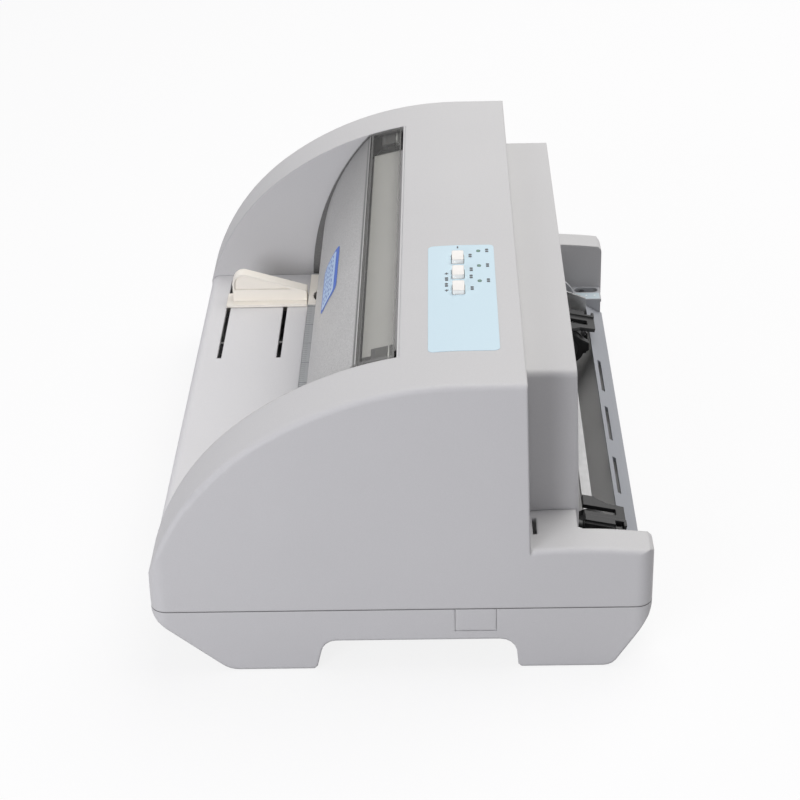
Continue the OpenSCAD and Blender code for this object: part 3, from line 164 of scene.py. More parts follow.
class StudioSettings(bpy.types.PropertyGroup):
    """Floor, lamps and surroundings"""

    floor: colour("Floor", "Colour of the floor under the light", (0.44, 0.44, 0.44))
    white: share("White", "Share of plain white where the camera sees the floor", 0.84)
    ambient: share("Surroundings", "Brightness of the surroundings", 0.33, 5.0)
    key: bpy.props.FloatProperty(
        name="Key lamp", description="Power of the large lamp overhead", unit="POWER",
        min=0, max=500, default=26.0,
    )
    fill: bpy.props.FloatProperty(
        name="Fill lamp", description="Power of the lamp in front on the right", unit="POWER",
        min=0, max=500, default=11.5,
    )


class PrinterSettings(bpy.types.PropertyGroup):
    """All settings of the printer's looks"""

    case: bpy.props.PointerProperty(type=CaseSettings)
    cover: bpy.props.PointerProperty(type=CoverSettings)
    prints: bpy.props.PointerProperty(type=PrintSettings)
    studio: bpy.props.PointerProperty(type=StudioSettings)


# ---- node materials ---------------------------------------------------------------------


class Shader:
    """Builds one node material: each method adds nodes and returns the socket they give."""

    def __init__(self, name):
        self.material = bpy.data.materials.new(name)
        self.material.use_nodes = True
        self.tree = self.material.node_tree
        self.tree.nodes.clear()
        self.place = self.node("TexCoord").outputs["Object"]

    def node(self, kind, inputs=None, **settings):
        made = self.tree.nodes.new("ShaderNode" + kind)
        for key, value in settings.items():
            setattr(made, key, value)
        for key, value in (inputs or {}).items():
            socket = made.inputs[key]
            if isinstance(value, bpy.types.NodeSocket):
                self.tree.links.new(value, socket)
            elif socket.type == "RGBA" and len(value) == 3:
                socket.default_value = (*value, 1.0)
            else:
                socket.default_value = value
        return made

    def math(self, operation, a, b=0.0):
        return self.node("Math", {0: a, 1: b}, operation=operation).outputs[0]

    def axis(self, letter):
        parts = self.node("SeparateXYZ", {0: self.place})
        return parts.outputs["XYZ".index(letter)]

    def noise(self, scale, detail=2.0, roughness=0.5, stretch=None):
        vector = self.place
        if stretch is not None:
            vector = self.node("Mapping", {"Vector": vector, "Scale": stretch}).outputs[0]
        made = self.node(
            "TexNoise", {"Vector": vector, "Scale": scale, "Detail": detail, "Roughness": roughness}
        )
        return made.outputs["Fac"]

    def cells(self, scale):
        made = self.node("TexVoronoi", {"Vector": self.place, "Scale": scale})
        return made.outputs["Distance"]

    def remap(self, value, low, high, to_low=0.0, to_high=1.0):
        inputs = {"Value": value, 1: low, 2: high, 3: to_low, 4: to_high}
        return self.node("MapRange", inputs, clamp=True).outputs[0]

    def mix(self, factor, a, b):
        made = self.node("Mix", data_type="RGBA")
        for key, value in ((0, factor), (6, a), (7, b)):
            if isinstance(value, bpy.types.NodeSocket):
                self.tree.links.new(value, made.inputs[key])
            elif key:
                made.inputs[key].default_value = (*value[:3], 1.0)
            else:
                made.inputs[key].default_value = value
        return made.outputs[2]

    def line(self, letter, place, half_width):
        """1 on the plane letter = place, falling to 0 at half_width."""
        away = self.math("ABSOLUTE", self.math("SUBTRACT", self.axis(letter), place))
        return self.remap(away, half_width * 0.6, half_width, 1.0, 0.0)

    def stripes(self, letter, pitch, duty):
        """1 on bars across an axis, duty is the bar's share of the pitch."""
        turn = self.math("FRACT", self.math("DIVIDE", self.axis(letter), pitch))
        return self.math("LESS_THAN", turn, duty)

    def edge(self, radius):
        return self.node("Bevel", {"Radius": radius}, samples=6).outputs[0]

    def bump(self, height, distance, strength, normal=None):
        inputs = {"Height": height, "Distance": distance, "Strength": strength}
        if normal is not None:
            inputs["Normal"] = normal
        return self.node("Bump", inputs).outputs[0]

    def principled(self, inputs):
        return self.node("BsdfPrincipled", inputs).outputs[0]

    def done(self, surface):
        self.node("OutputMaterial", {"Surface": surface})
        return self.material


def shade(rgb, factor):
    return tuple(min(1.0, c * factor) for c in rgb)


def moulded(name, base, grain, depth, edge, rough=0.55, seam=None, speck=0.05):
    """Textured plastic: eroded grain, faint flow marks, soft edges and a dark parting line."""
    s = Shader(name)
    fine = s.noise(0.7 / grain, detail=3.0, roughness=0.6)
    pits = s.cells(0.45 / grain)
    flow = s.noise(9.0)
    tone = s.mix(s.remap(flow, *SPREAD), shade(base, 0.985), shade(base, 1.015))
    tone = s.mix(s.remap(fine, 0.35, 0.75, 0.0, speck * 2), tone, shade(base, 0.72))
    if seam is not None:
        seam_half_width = 0.00032
        tone = s.mix(s.line("Z", seam, seam_half_width), tone, shade(base, 0.22))
    height = s.math("ADD", fine, s.math("MULTIPLY", pits, 0.5))
    normal = s.bump(height, distance=depth, strength=0.8, normal=s.edge(edge))
    gloss = s.remap(fine, *SPREAD, rough - 0.05, rough + 0.07)
    return s.done(s.principled({
        "Base Color": tone, "Roughness": gloss, "Normal": normal, "Specular IOR Level": 0.42,
    }))


def polished(name, base, edge, rough, speck=0.05, grain=POLISHED_GRAIN, depth=POLISHED_DEPTH):
    """Plastic from a polished mould: the grain is much finer and shallower than the case's."""
    return moulded(name, base, grain, depth, edge, rough=rough, speck=speck)


def smoked(name, cover):
    """Smoke-tinted plastic: frosted front, clear strip, darker rib, rear edge and cheeks, and
    painted shadow.
    """
    s = Shader(name)
    rib_half, rib_core = 0.0022, 0.0009
    rear_band, cheek_share, rear_share = 0.9 * MM, 0.7, 0.6
    sparkle_light, sparkle_dark = (0.9, 0.9, 0.88), (0.12, 0.12, 0.12)
    deep, shade_tone = (0.075, 0.075, 0.072), (0.14, 0.14, 0.14)
    shade_x, shade_y, shade_depth = (0.03, -0.155), (-0.056, -0.024), 0.85

    fine = s.noise(1000.0, detail=4.0, roughness=0.75)
    slow = s.noise(14.0)
    depth = s.axis("Y")
    behind = s.math("GREATER_THAN", depth, RIB_Y * MM)
    rear = s.math("GREATER_THAN", depth, COVER_REAR_Y * MM - rear_band)
    flanks = s.math(
        "SUBTRACT", s.line("Y", RIB_Y * MM, rib_half), s.line("Y", RIB_Y * MM, rib_core)
    )
    across = s.axis("X")
    cheek = s.math("GREATER_THAN", s.math("ABSOLUTE", across), COVER_CHEEK_X * MM)
    dark = s.math("MAXIMUM", s.math("MAXIMUM", flanks, 0.0), s.math("MULTIPLY", rear, rear_share))
    dark = s.math("MAXIMUM", dark, s.math("MULTIPLY", cheek, cheek_share))
    # painted shadow: the front's tone darkens towards the far end, most beside the rib
    shadow = s.remap(across, *shade_x, 0.0, shade_depth)
    shadow = s.math("MULTIPLY", shadow, s.remap(depth, *shade_y, 0.05, 1.0))
    tone = s.mix(s.remap(slow, *SPREAD), shade(cover.haze, 0.97), shade(cover.haze, 1.04))
    tone = s.mix(s.remap(fine, 0.5, 0.66, 0.0, cover.sparkle), tone, sparkle_light)
    tone = s.mix(s.remap(fine, 0.5, 0.34, 0.0, cover.sparkle), tone, sparkle_dark)
    tone = s.mix(shadow, tone, shade_tone)
    tone = s.mix(dark, tone, deep)
    normal = s.bump(fine, distance=0.00002, strength=0.5, normal=s.edge(0.0006))
    skin = s.principled({
        "Base Color": tone, "Roughness": 0.36, "Normal": normal, "Specular IOR Level": 0.45,
    })
    clear = s.node("BsdfTransparent", {"Color": cover.tint}).outputs[0]
    facing = s.node("LayerWeight", {"Blend": 0.35, "Normal": normal}).outputs["Facing"]
    frost = s.remap(facing, 0.0, 1.0, cover.body - 0.06, min(1.0, cover.body + 0.16))
    strip = s.remap(facing, 0.0, 1.0, cover.clear, cover.clear + 0.12)
    gap = s.math("SUBTRACT", frost, strip)
    body = s.math("SUBTRACT", frost, s.math("MULTIPLY", gap, behind))
    body = s.math("MAXIMUM", body, s.math("MULTIPLY", dark, 0.75))
    return s.done(s.node("MixShader", {0: body, 1: clear, 2: skin}).outputs[0])


def frosted(name):
    """Frosted clear strip with a printed column scale along X."""
    s = Shader(name)
    tenth, inch = 0.00254, 0.0254
    haze = s.noise(900.0, roughness=0.6)
    on_short = s.math("LESS_THAN", s.axis("Y"), SCALE_SHORT_Y * MM)
    short_marks = s.math("MULTIPLY", s.stripes("X", tenth, 0.10), on_short)
    on_long = s.math("LESS_THAN", s.axis("Y"), SCALE_LONG_Y * MM)
    long_marks = s.math("MULTIPLY", s.stripes("X", inch, 0.02), on_long)
    ink = s.math("MAXIMUM", short_marks, long_marks)
    tone = s.mix(ink, (0.80, 0.82, 0.82), (0.05, 0.05, 0.06))
    normal = s.bump(haze, distance=0.00002, strength=0.5, normal=s.edge(0.0003))
    skin = s.principled({"Base Color": tone, "Roughness": 0.30, "Normal": normal})
    clear = s.node("BsdfTransparent", {"Color": (0.93, 0.95, 0.95)}).outputs[0]
    body = s.remap(ink, 0.0, 1.0, 0.5, 1.0)
    return s.done(s.node("MixShader", {0: body, 1: clear, 2: skin}).outputs[0])


def metal(name, base, rough, along=(40.0, 1400.0, 1400.0)):
    """Drawn or brushed metal: fine lines along one axis and cloudy zinc tone."""
    s = Shader(name)
    lines = s.noise(1.0, detail=3.0, roughness=0.6, stretch=along)
    cloud = s.cells(160.0)
    tone = s.mix(s.remap(cloud, 0.0, 0.6), shade(base, 1.04), shade(base, 0.90))
    tone = s.mix(s.remap(lines, *SPREAD, 0.0, 0.35), tone, shade(base, 0.8))
    normal = s.bump(lines, distance=0.000015, strength=0.6, normal=s.edge(0.0002))
    gloss = s.remap(lines, *SPREAD, rough - 0.06, rough + 0.10)
    return s.done(s.principled({
        "Base Color": tone, "Metallic": 1.0, "Roughness": gloss, "Normal": normal,
    }))


def rubber(name, base):
    """Ground rubber: fine rings round the roller and a dull bloom."""
    s = Shader(name)
    ring_pitch = 0.0011
    rings = s.node(
        "TexWave", {"Vector": s.place, "Scale": 0.05 / ring_pitch, "Distortion": 1.5},
        bands_direction="X",
    ).outputs["Fac"]
    bloom = s.noise(60.0, detail=3.0, roughness=0.6)
    tone = s.mix(s.remap(bloom, 0.35, 0.7), base, shade(base, 1.9))
    height = s.math("ADD", rings, s.noise(3000.0))
    normal = s.bump(height, distance=0.00002, strength=0.5, normal=s.edge(0.0004))
    return s.done(s.principled({"Base Color": tone, "Roughness": 0.72, "Normal": normal}))


def laminated(name, base):
    """Stepper can: painted steel with its lamination lines showing."""
    s = Shader(name)
    sheet_pitch = 0.0005
    lines = s.stripes("X", sheet_pitch, 0.3)
    scuff = s.noise(220.0, detail=4.0, roughness=0.7)
    tone = s.mix(s.math("MULTIPLY", lines, 0.5), base, shade(base, 0.5))
    tone = s.mix(s.remap(scuff, 0.62, 0.75), tone, (0.32, 0.31, 0.30))
    normal = s.bump(lines, distance=0.00003, strength=0.4, normal=s.edge(0.0006))
    return s.done(s.principled({
        "Base Color": tone, "Metallic": 0.6, "Roughness": 0.42, "Normal": normal,
    }))


def circuit(name, base, trace):
    """Circuit board: solder mask, traces on a grid and tinned pads."""
    s = Shader(name)
    trace_pitch, trace_share = 0.0025, 0.22
    grid_x = s.stripes("X", trace_pitch, trace_share)
    grid_y = s.stripes("Y", trace_pitch, trace_share)
    patch = s.math("GREATER_THAN", s.noise(55.0, detail=1.0), 0.5)
    inverse = s.math("SUBTRACT", 1.0, patch)
    runs = s.math("ADD", s.math("MULTIPLY", grid_x, patch), s.math("MULTIPLY", grid_y, inverse))
    pads = s.math("LESS_THAN", s.cells(280.0), 0.14)
    tone = s.mix(runs, base, trace)
    tone = s.mix(pads, tone, (0.62, 0.60, 0.55))
    height = s.math("ADD", runs, pads)
    normal = s.bump(height, distance=0.00004, strength=0.6, normal=s.edge(0.0002))
    return s.done(s.principled({"Base Color": tone, "Roughness": 0.34, "Normal": normal}))


def film(name, base, coat=0.2):
    """Printed polyester film: a faint print screen, under a satin coat unless coat is 0."""
    s = Shader(name)
    screen = s.cells(2400.0)
    wash = s.noise(18.0)
    tone = s.mix(s.remap(screen, 0.1, 0.5, 0.0, 0.10), base, shade(base, 1.12))
    tone = s.mix(s.remap(wash, *SPREAD, 0.0, 0.25), tone, shade(base, 1.05))
    normal = s.bump(s.noise(700.0), distance=0.00001, strength=0.4, normal=s.edge(0.0002))
    return s.done(s.principled({
        "Base Color": tone, "Roughness": 0.44, "Normal": normal, "Coat Weight": coat,
        "Coat Roughness": 0.2, "Specular IOR Level": 0.3,
    }))


def lens(name, base):
    """Diffused indicator lens with a fine haze inside."""
    s = Shader(name)
    haze = s.noise(1800.0)
    tone = s.mix(s.remap(haze, *SPREAD, 0.0, 0.5), base, shade(base, 1.4))
    return s.done(s.principled({
        "Base Color": tone, "Roughness": 0.25, "Transmission Weight": 0.25,
        "Subsurface Weight": 0.2, "Normal": s.bump(haze, distance=0.00001, strength=0.3),
    }))


def ribbed_belt(name, base):
    """Moulded belt: teeth across its inner side and a cloth face."""
    s = Shader(name)
    tooth_pitch = 0.002
    teeth = s.stripes("X", tooth_pitch, 0.5)
    cloth = s.cells(2600.0)
    tone = s.mix(s.remap(cloth, 0.0, 0.5), base, shade(base, 2.2))
    normal = s.bump(s.math("ADD", teeth, cloth), distance=0.0002, strength=0.6)
    return s.done(s.principled({"Base Color": tone, "Roughness": 0.66, "Normal": normal}))


def flat_flex(name, base):
    """Flat flex: foil conductors side by side under a clear film."""
    s = Shader(name)
    wire_pitch = 0.00125
    wires = s.stripes("Y", wire_pitch, 0.6)
    haze = s.noise(400.0)
    tone = s.mix(wires, base, (0.50, 0.51, 0.53))
    tone = s.mix(s.remap(haze, 0.4, 0.8, 0.0, 0.2), tone, shade(base, 0.8))
    return s.done(s.principled({
        "Base Color": tone, "Roughness": 0.30, "Coat Weight": 0.4,
        "Normal": s.bump(wires, distance=0.00005, strength=0.4),
    }))


def dress(nodes, material):
    """Gives CAD nodes a material."""
    for name in nodes:
        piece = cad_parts[name]
        piece.data.materials.clear()
        piece.data.materials.append(material)


# ---- small meshes -----------------------------------------------------------------------


def mesh_object(name, points, faces, material, body, smooth=True):
    mesh = bpy.data.meshes.new(name)
    mesh.from_pydata([tuple(c * MM for c in p) for p in points], [], faces)
    mesh.update()
    mesh.materials.append(material)
    if smooth:
        for face in mesh.polygons:
            face.use_smooth = True
    made = bpy.data.objects.new(name, mesh)
    bpy.context.scene.collection.objects.link(made)
    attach(made, body)
    return made


def patch_mesh(u_span, v_span, corner, surface, steps):
    """Points and faces of a round-cornered sheet laid on surface(u, v), in millimetres."""
    (u0, u1), (v0, v1) = u_span, v_span
    points, faces = [], []
    for i in range(steps[0] + 1):
        turn = math.pi * i / steps[0]
        u = (u0 + u1) / 2 - (u1 - u0) / 2 * math.cos(turn)
        from_end = min(u - u0, u1 - u)
        inset = 0.0
        if corner > 0 and from_end < corner:
            inset = corner - math.sqrt(max(0.0, corner**2 - (corner - from_end) ** 2))
        for k in range(steps[1] + 1):
            v = v0 + inset + (v1 - v0 - 2 * inset) * k / steps[1]
            points.append(surface(u, v))
    row = steps[1] + 1
    for i in range(steps[0]):
        for k in range(steps[1]):
            a = i * row + k
            faces.append((a, a + row, a + row + 1, a + 1))
    return points, faces


def joined(parts):
    """One points-and-faces pair from several."""
    points, faces = [], []
    for part_points, part_faces in parts:
        start = len(points)
        points += part_points
        faces += [tuple(start + i for i in face) for face in part_faces]
    return points, faces


def crown_z(y):
    """Height of the case's crown at a depth."""
    if y >= CROWN_Y:
        return BODY_TOP
    return BODY_TOP - CROWN_R + math.sqrt(CROWN_R**2 - (y - CROWN_Y) ** 2)


def crown_bar(rows, half):
    """A bar across the case: rows are four corners, as depth and drop below the crown."""
    points = [(x, y, crown_z(y) - drop) for x in (-half, half) for y, drop in rows]
    faces = [(i, (i + 1) % 4, (i + 1) % 4 + 4, i + 4) for i in range(4)]
    return points, faces + [(3, 2, 1, 0), (4, 5, 6, 7)]


def on_label(lift):
    """The key label's face, as a surface for patch_mesh."""
    return lambda x, y: (x, y, crown_z(y) + LABEL_LIFT + lift)


def on_lever_ledge(lift):
    """The flat top of the release lever's ledge, as a surface for patch_mesh."""
    return lambda x, y: (x, y, LEVER_LEDGE_Z + lift)


def on_cover(lift):
    """The cover's front: u along X, v along the arc from the sticker's middle."""
    radius = PANEL_ARC_R + lift

    def place(x, along):
        turn = math.radians(STICKER_TURN) - along / PANEL_ARC_R
        return (x, PANEL_ARC[0] + radius * math.cos(turn), PANEL_ARC[1] + radius * math.sin(turn))

    return place


# ---- operators --------------------------------------------------------------------------


class PieceOperator(bpy.types.Operator):
    """Shared base: an operator that finishes one group of pieces"""

    bl_options = {"REGISTER", "UNDO"}

    def execute(self, context):
        self.build(context.scene.printer_looks)
        return {"FINISHED"}


class PRINTER_OT_case(PieceOperator):
    """Textured grey case parts with their parting line"""

    bl_idname = "printer.case"
    bl_label = "Finish the case"

    def build(self, looks):
        c = looks.case
        shell = moulded("shell_grey", c.shell, c.grain, c.depth, c.edge, seam=SEAM_Z * MM)
        hood = moulded("hood_grey", shade(c.shell, 0.99), c.grain, c.depth, c.edge * HOOD_EDGE)
        table = moulded("table_grey", c.table, c.grain * FINER, c.depth, edge=0.0006, rough=0.5)
        inner = moulded("bay_grey", c.inner, c.grain * FINER, c.depth, edge=0.0006, rough=0.5)
        ledge = moulded("ledge_light", c.ledge, c.grain * FINER, c.depth, edge=0.001, rough=0.45)
        feet = rubber("foot_rubber", (0.03, 0.03, 0.03))
        screws = metal("screw_zinc", (0.62, 0.61, 0.58), rough=0.35)
        dress(["base_tray", "upper_shell"], shell)
        dress(["rear_hood"], hood)
        dress(["front_table"], table)
        dress(["rear_guide"], inner)
        dress(["lever_ledge"], ledge)
        dress(["rubber_feet"], feet)
        dress(["case_screws"], screws)


class PRINTER_OT_controls(PieceOperator):
    """Key label with plain marks, cream keys, lenses and the panel board"""

    bl_idname = "printer.controls"
    bl_label = "Finish the controls"

    def build(self, looks):
        prints = looks.prints
        dress(["control_label"], film("label_blue", prints.film))
        cream = polished("key_cream", (0.95, 0.93, 0.88), edge=0.0009, rough=0.38, speck=0.01)
        dress(["select_button", "load_button", "feed_button"], cream)
        dress(["led_lenses"], lens("lens_green", (0.20, 0.33, 0.25)))
        board = circuit("panel_green", (0.01, 0.10, 0.04), (0.02, 0.17, 0.07))
        dress(["panel_board"], board)
        ink = film("mark_ink", prints.ink)
        self.marks(ink)

    @staticmethod
    def marks(ink):
        """Plain blocks in pairs, two arrows and a dash, in place of the captions."""
        place = on_label(0.03)
        block_gap, block_x, block_y = 1.25, 1.0, 0.85
        tip_x, base_x, base_y, stem_x, stem_y = 1.6, 0.4, 1.2, 1.2, 0.3
        parts = []
        for x, y in MARK_PAIRS:
            for middle in (x - block_gap, x + block_gap):
                across, tall = (middle - block_x, middle + block_x), (y - block_y, y + block_y)
                parts.append(patch_mesh(across, tall, 0.25, place, (4, 2)))
        for x, way in MARK_ARROWS:
            base = x - way * base_x
            side = way * base_y
            head = [(x + way * tip_x, ARROW_Y), (base, ARROW_Y + side), (base, ARROW_Y - side)]
            parts.append(([place(*corner) for corner in head], [(0, 1, 2)]))
            across, tall = (x - stem_x, x + stem_x), (ARROW_Y - stem_y, ARROW_Y + stem_y)
            parts.append(patch_mesh(across, tall, 0.0, place, (2, 1)))
        parts.append(patch_mesh(*MARK_DASH, 0.2, place, (4, 2)))
        points, faces = joined(parts)
        return mesh_object("label_marks", points, faces, ink, "chassis", smooth=False)


class PRINTER_OT_cover(PieceOperator):
    """Smoke-tinted cover, its hinge blocks and the sticker on its front"""

    bl_idname = "printer.cover"
    bl_label = "Finish the cover"

    def build(self, looks):
        dress(["front_cover"], smoked("smoke_grey", looks.cover))
        dark = polished("hinge_dark", (0.045, 0.045, 0.047), edge=0.0008, rough=0.42)
        dress(["hinge_bosses"], dark)
        dress(["hinge_pins"], metal("pin_steel", (0.66, 0.66, 0.66), rough=0.25))
        self.ledge(looks.case)
        self.lip(looks.case)
        self.sticker(looks.prints)

    @staticmethod
    def ledge(case):
        """The case's own ledge that shows through the clear strip, between the hinge blocks."""
        grey = moulded("ledge_grey", case.shell, case.grain, case.depth, edge=0.0006)
        (front, rear), half = COVER_LEDGE_Y, COVER_LEDGE_HALF
        top, under = COVER_LEDGE_DROP, COVER_LEDGE_DROP + COVER_LEDGE_THICK
        rows = [(rear, under), (rear, top), (front, top), (front, under)]
        piece = mesh_object("cover_ledge", *crown_bar(rows, half), grey, "chassis", smooth=False)

    @staticmethod
    def lip(case):
        """Thin lip of the case along the cover's rear edge, clear of the cover's swing."""
        grey = moulded("lip_grey", case.shell, case.grain, case.depth, edge=0.0002)
        front, rear = MOUTH_REAR_Y - LIP_WIDTH, MOUTH_REAR_Y
        top, under = LIP_DROP
        rows = [(rear, under), (rear, top), (front, top), (front, under)]
        piece = mesh_object("cover_lip", *crown_bar(rows, MOUTH_X), grey, "chassis", smooth=False)

    @staticmethod
    def sticker(prints):
        """Three sheets on the cover's front: a border, its middle and plain bars for text."""
        border = film("sticker_blue", prints.border, coat=0.0)
        paper = film("sticker_paper", prints.paper, coat=0.0)
        marks = film("sticker_marks", (0.06, 0.17, 0.52), coat=0.0)
        outline, middle = ((-34.0, 26.0), (-10.4, 10.4), 5.0), ((-32.4, 22.6), (-9.2, 6.6), 3.5)
        first_x, pitch_x, shift_x, longest = -30.0, 6.3, 1.4, 4.2
        first_y, pitch_y, bar_height, lift = -7.4, 2.5, 1.1, 0.12
        bars = []
        for row in range(5):
            for column in range(8):
                left = first_x + column * pitch_x + (row % 2) * shift_x
                low = first_y + row * pitch_y
                right = left + longest - (column + row) % 3
                bars.append(((left, right), (low, low + bar_height), 0.2))
        sheets = [
            ("sticker_border", border, [outline]),
            ("sticker_middle", paper, [middle]),
            ("sticker_bars", marks, bars),
        ]
        for level, (name, material, spans) in enumerate(sheets):
            place = on_cover(lift + level * FILM_GAP)
            parts = [patch_mesh(u, v, corner, place, (26, 6)) for u, v, corner in spans]
            mesh_object(name, *joined(parts), material, "cover")


class PRINTER_OT_table_fittings(PieceOperator):
    """Cream edge guide, bar bracket and the clear column scale"""

    bl_idname = "printer.table_fittings"
    bl_label = "Finish the table fittings"

    def build(self, looks):
        cream = polished("guide_cream", (0.97, 0.93, 0.835), edge=0.0009, rough=0.42, speck=0.01)
        dress(["edge_guide", "bar_bracket"], cream)
        dress(["scale_bar"], frosted("scale_clear"))


class PRINTER_OT_frame(PieceOperator):
    """Plates, beam, shafts, platen and guide sheet"""

    bl_idname = "printer.frame"
    bl_label = "Finish the frame"

    def build(self, looks):
        zinc = metal("zinc_sheet", (0.60, 0.605, 0.61), rough=0.40, along=(900.0, 30.0, 900.0))
        ground = metal("ground_shaft", (0.66, 0.66, 0.665), rough=0.16, along=(2200.0, 60.0, 60.0))
        dark = polished("platen_dark", (0.03, 0.03, 0.032), edge=0.0006, rough=0.5)
        sheet = metal("guide_sheet", (0.40, 0.405, 0.41), rough=0.58, along=(900.0, 30.0, 900.0))
        square = metal(
            "square_shaft", (0.46, 0.46, 0.465), rough=0.42, along=(60.0, 1500.0, 1500.0)
        )
        dress(["left_plate", "right_plate", "rear_beam"], zinc)
        dress(["paper_guide"], sheet)
        dress(["guide_shaft", "tractor_rail"], ground)
        dress(["tractor_drive_shaft"], square)
        dress(["platen"], dark)


class PRINTER_OT_feed(PieceOperator):
    """Rollers, gears and motor of the form feed"""

    bl_idname = "printer.feed"
    bl_label = "Finish the feed"

    def build(self, looks):
        rollers = [
            "front_feed_roller", "rear_feed_roller", "front_pinch_roller", "rear_pinch_roller",
        ]
        gears = ["transfer_gear", "bridge_gear", "front_idler", "step_gear", "rear_idler"]
        dress(rollers, rubber("roller_rubber", (0.035, 0.035, 0.036)))
        nylon = polished(
            "gear_nylon", (0.74, 0.735, 0.69), edge=0.0002, rough=0.36, speck=0.0, grain=0.0003
        )
        dress(gears, nylon)
        brass = metal("pinion_brass", (0.72, 0.52, 0.22), rough=0.28)
        dress(["motor_pinion"], brass)
        dress(["feed_motor"], laminated("motor_black", (0.035, 0.035, 0.037)))


class PRINTER_OT_carriage(PieceOperator):
    """Carriage, print head, cartridge, belt and flex"""

    bl_idname = "printer.carriage"
    bl_label = "Finish the carriage"

    def build(self, looks):
        dark = polished("carriage_dark", (0.035, 0.035, 0.037), edge=0.0006, rough=0.45)
        black = polished(
            "cartridge_black", (0.015, 0.015, 0.016), edge=0.0008, rough=0.4,
            grain=0.0005, depth=0.00002,
        )
        cast = metal("head_cast", (0.42, 0.425, 0.43), rough=0.5, along=(300.0, 300.0, 300.0))
        steel = metal("pulley_steel", (0.64, 0.64, 0.64), rough=0.3)
        dress(["carriage", "ribbon_knob"], dark)
        dress(["ribbon_cartridge"], black)
        dress(["print_head"], cast)
        dress(["drive_pulley", "idler_pulley"], steel)
        dress(["timing_belt"], ribbed_belt("belt_black", (0.02, 0.02, 0.02)))
        dress(["head_cable"], flat_flex("flex_grey", (0.70, 0.70, 0.68)))
        dress(["carriage_motor"], metal("motor_can", (0.50, 0.50, 0.51), rough=0.38))


class PRINTER_OT_tractors(PieceOperator):
    """Push tractors, sprocket wheels, flaps and the release lever"""

    bl_idname = "printer.tractors"
    bl_label = "Finish the tractors"

    def build(self, looks):
        black = polished(
            "tractor_black", (0.016, 0.016, 0.017), edge=0.0007, rough=0.38,
            grain=0.0005, depth=0.00002,
        )
        dark = polished("sprocket_dark", (0.05, 0.05, 0.052), edge=0.0004, rough=0.4)
        self.ledge_label_and_highlight()
        tractors = ["left_tractor", "right_tractor", "left_tractor_flap", "right_tractor_flap"]
        dress(tractors, black)
        dress(["left_sprocket", "right_sprocket", "release_lever"], dark)

    @staticmethod
    def ledge_label_and_highlight():
        """Pale film strip beside the lever's slot, partly a label and partly a painted highlight on
        the ledge's edge, with three small position marks.
        """
        # the pale strip is partly a painted highlight along the ledge's rounded edge
        strip = film("strip_pale_and_highlight", (0.60, 0.70, 0.74))
        dots = film("strip_dots", (0.90, 0.92, 0.92))
        on_highlight_strip, on_dots = on_lever_ledge(0.1), on_lever_ledge(0.16)
        across, deep, corner = (-165.6, -156.6), (111.2, 129.2), 0.6
        dot_x, dot_half, dot_corner = (-162.4, -161.0), 0.7, 0.5
        sheet = patch_mesh(across, deep, corner, on_highlight_strip, (8, 6))
        mesh_object("ledge_label_and_highlight", *sheet, strip, "chassis", smooth=False)
        marks = [
            patch_mesh(dot_x, (y - dot_half, y + dot_half), dot_corner, on_dots, (6, 2))
            for y in (115.0, 120.5, 126.0)
        ]
        mesh_object("ledge_dots", *joined(marks), dots, "chassis", smooth=False)


class PRINTER_OT_electrics(PieceOperator):
    """Boards, inlet and switch"""

    bl_idname = "printer.electrics"
    bl_label = "Finish the electrics"

    def build(self, looks):
        green = circuit("board_green", (0.01, 0.11, 0.04), (0.02, 0.19, 0.07))
        tan = circuit("board_tan", (0.42, 0.28, 0.11), (0.55, 0.40, 0.18))
        black = polished("inlet_black", (0.018, 0.018, 0.019), edge=0.0005, rough=0.4)
        dark = polished("rocker_dark", (0.04, 0.04, 0.042), edge=0.0006, rough=0.3, grain=0.0003)
        dress(["main_board"], green)
        dress(["power_supply"], tan)
        dress(["ac_inlet", "power_switch"], black)
        dress(["power_rocker"], dark)


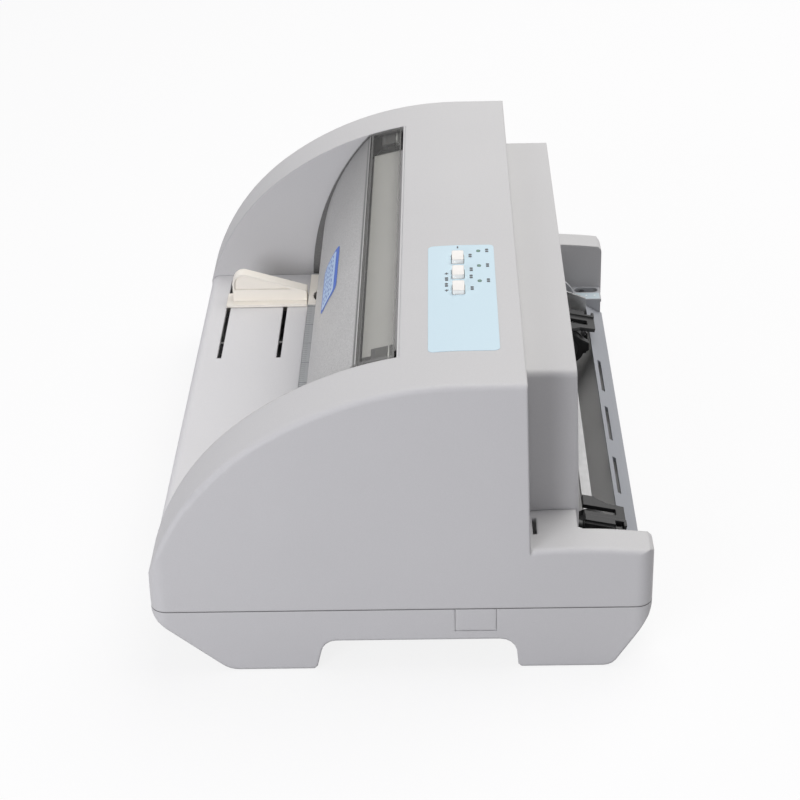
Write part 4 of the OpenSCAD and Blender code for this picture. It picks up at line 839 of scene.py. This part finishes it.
class PRINTER_OT_stage(PieceOperator):
    """Pale floor, studio lamps, white surroundings and the photograph's camera"""

    bl_idname = "printer.stage"
    bl_label = "Set the stage"

    def build(self, looks):
        studio = looks.studio
        self.floor(studio)
        self.lamp("key_lamp", studio.key, *KEY_LAMP)
        self.lamp("fill_lamp", studio.fill, *FILL_LAMP)
        self.surroundings(studio)
        self.camera()

    @staticmethod
    def seen(tree):
        """1 for what the camera sees by itself, or by way of metal or glass."""
        path = tree.nodes.new("ShaderNodeLightPath")
        value = path.outputs["Is Camera Ray"]
        for kind in ("Is Glossy Ray", "Is Transmission Ray"):
            either = tree.nodes.new("ShaderNodeMath")
            either.operation = "MAXIMUM"
            tree.links.new(value, either.inputs[0])
            tree.links.new(path.outputs[kind], either.inputs[1])
            value = either.outputs[0]
        return value

    def floor(self, studio):
        s = Shader("floor_white")
        speck = s.noise(40.0)
        lit = s.mix(s.remap(speck, *SPREAD), shade(studio.floor, 0.99), studio.floor)
        lit = s.principled({"Base Color": lit, "Roughness": 0.85, "Specular IOR Level": 0.1})
        shown = s.principled({
            "Base Color": (0.96, 0.96, 0.96), "Roughness": 0.9, "Specular IOR Level": 0.0,
        })
        white = s.node("Emission", {"Color": WHITE, "Strength": 1.0}).outputs[0]
        shown = s.node("MixShader", {0: studio.white, 1: shown, 2: white}).outputs[0]
        both = s.node("MixShader", {0: self.seen(s.tree), 1: lit, 2: shown}).outputs[0]
        bpy.ops.mesh.primitive_plane_add(size=FLOOR_SIZE, location=(0.0, 0.0, 0.0))
        plane = bpy.context.active_object
        plane.name = "floor"
        plane.data.materials.append(s.done(both))

    @staticmethod
    def lamp(name, power, place, size, tone):
        data = bpy.data.lights.new(name, "AREA")
        data.shape, data.size, data.energy, data.color = "DISK", size, power, tone
        lamp = bpy.data.objects.new(name, data)
        lamp.location = place
        toward = Vector(LAMP_TARGET) - Vector(place)
        lamp.rotation_euler = toward.to_track_quat("-Z", "Y").to_euler()
        bpy.context.scene.collection.objects.link(lamp)

    def surroundings(self, studio):
        world = bpy.data.worlds.new("white_room")
        bpy.context.scene.world = world
        world.use_nodes = True
        tree = world.node_tree
        tree.nodes.clear()
        mixed = tree.nodes.new("ShaderNodeMixShader")
        tree.links.new(self.seen(tree), mixed.inputs[0])
        sides = ((AMBIENT_TONE, studio.ambient), (WHITE, 1.0))
        for place, (tone, strength) in enumerate(sides, start=1):
            side = tree.nodes.new("ShaderNodeBackground")
            side.inputs["Color"].default_value = (*tone, 1.0)
            side.inputs["Strength"].default_value = strength
            tree.links.new(side.outputs[0], mixed.inputs[place])
        end = tree.nodes.new("ShaderNodeOutputWorld")
        tree.links.new(mixed.outputs[0], end.inputs["Surface"])

    @staticmethod
    def camera():
        forward = Vector(CAMERA_VIEW).normalized()
        right = Vector(CAMERA_RIGHT)
        right = (right - forward * right.dot(forward)).normalized()
        up = right.cross(forward)
        turn = Matrix((right, up, -forward)).transposed()
        data = bpy.data.cameras.new("camera")
        data.lens, data.sensor_width = CAMERA_LENS, CAMERA_SENSOR
        data.clip_start, data.clip_end = CAMERA_CLIP
        camera = bpy.data.objects.new("camera", data)
        camera.matrix_world = Matrix.Translation(Vector(CAMERA_PLACE) * MM) @ turn.to_4x4()
        bpy.context.scene.collection.objects.link(camera)
        bpy.context.scene.camera = camera
        bpy.context.scene.view_settings.view_transform = "Standard"


# ---- panel and registration -------------------------------------------------------------

OPERATORS = (
    PRINTER_OT_case, PRINTER_OT_controls, PRINTER_OT_cover, PRINTER_OT_table_fittings,
    PRINTER_OT_frame, PRINTER_OT_feed, PRINTER_OT_carriage, PRINTER_OT_tractors,
    PRINTER_OT_electrics, PRINTER_OT_stage,
)


class PRINTER_PT_looks(bpy.types.Panel):
    """Settings and steps of the printer's looks"""

    bl_label = "Printer"
    bl_space_type = "VIEW_3D"
    bl_region_type = "UI"
    bl_category = "Printer"

    def draw(self, context):
        looks = context.scene.printer_looks
        for group in (looks.case, looks.cover, looks.prints, looks.studio):
            box = self.layout.box()
            for key in group.bl_rna.properties.keys():
                if key not in ("rna_type", "name"):
                    box.prop(group, key)
        column = self.layout.column(align=True)
        for operator in OPERATORS:
            column.operator(operator.bl_idname)


CLASSES = (
    CaseSettings, CoverSettings, PrintSettings, StudioSettings, PrinterSettings,
    *OPERATORS, PRINTER_PT_looks,
)


def register():
    for item in CLASSES:
        bpy.utils.register_class(item)
    bpy.types.Scene.printer_looks = bpy.props.PointerProperty(type=PrinterSettings)


def unregister():
    del bpy.types.Scene.printer_looks
    for item in reversed(CLASSES):
        bpy.utils.unregister_class(item)


def main():
    register()
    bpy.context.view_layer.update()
    for operator in OPERATORS:
        group, step = operator.bl_idname.split(".")
        if getattr(getattr(bpy.ops, group), step)() != {"FINISHED"}:
            raise RuntimeError(f"{operator.bl_idname} did not finish")


if __name__ == "__main__":
    main()
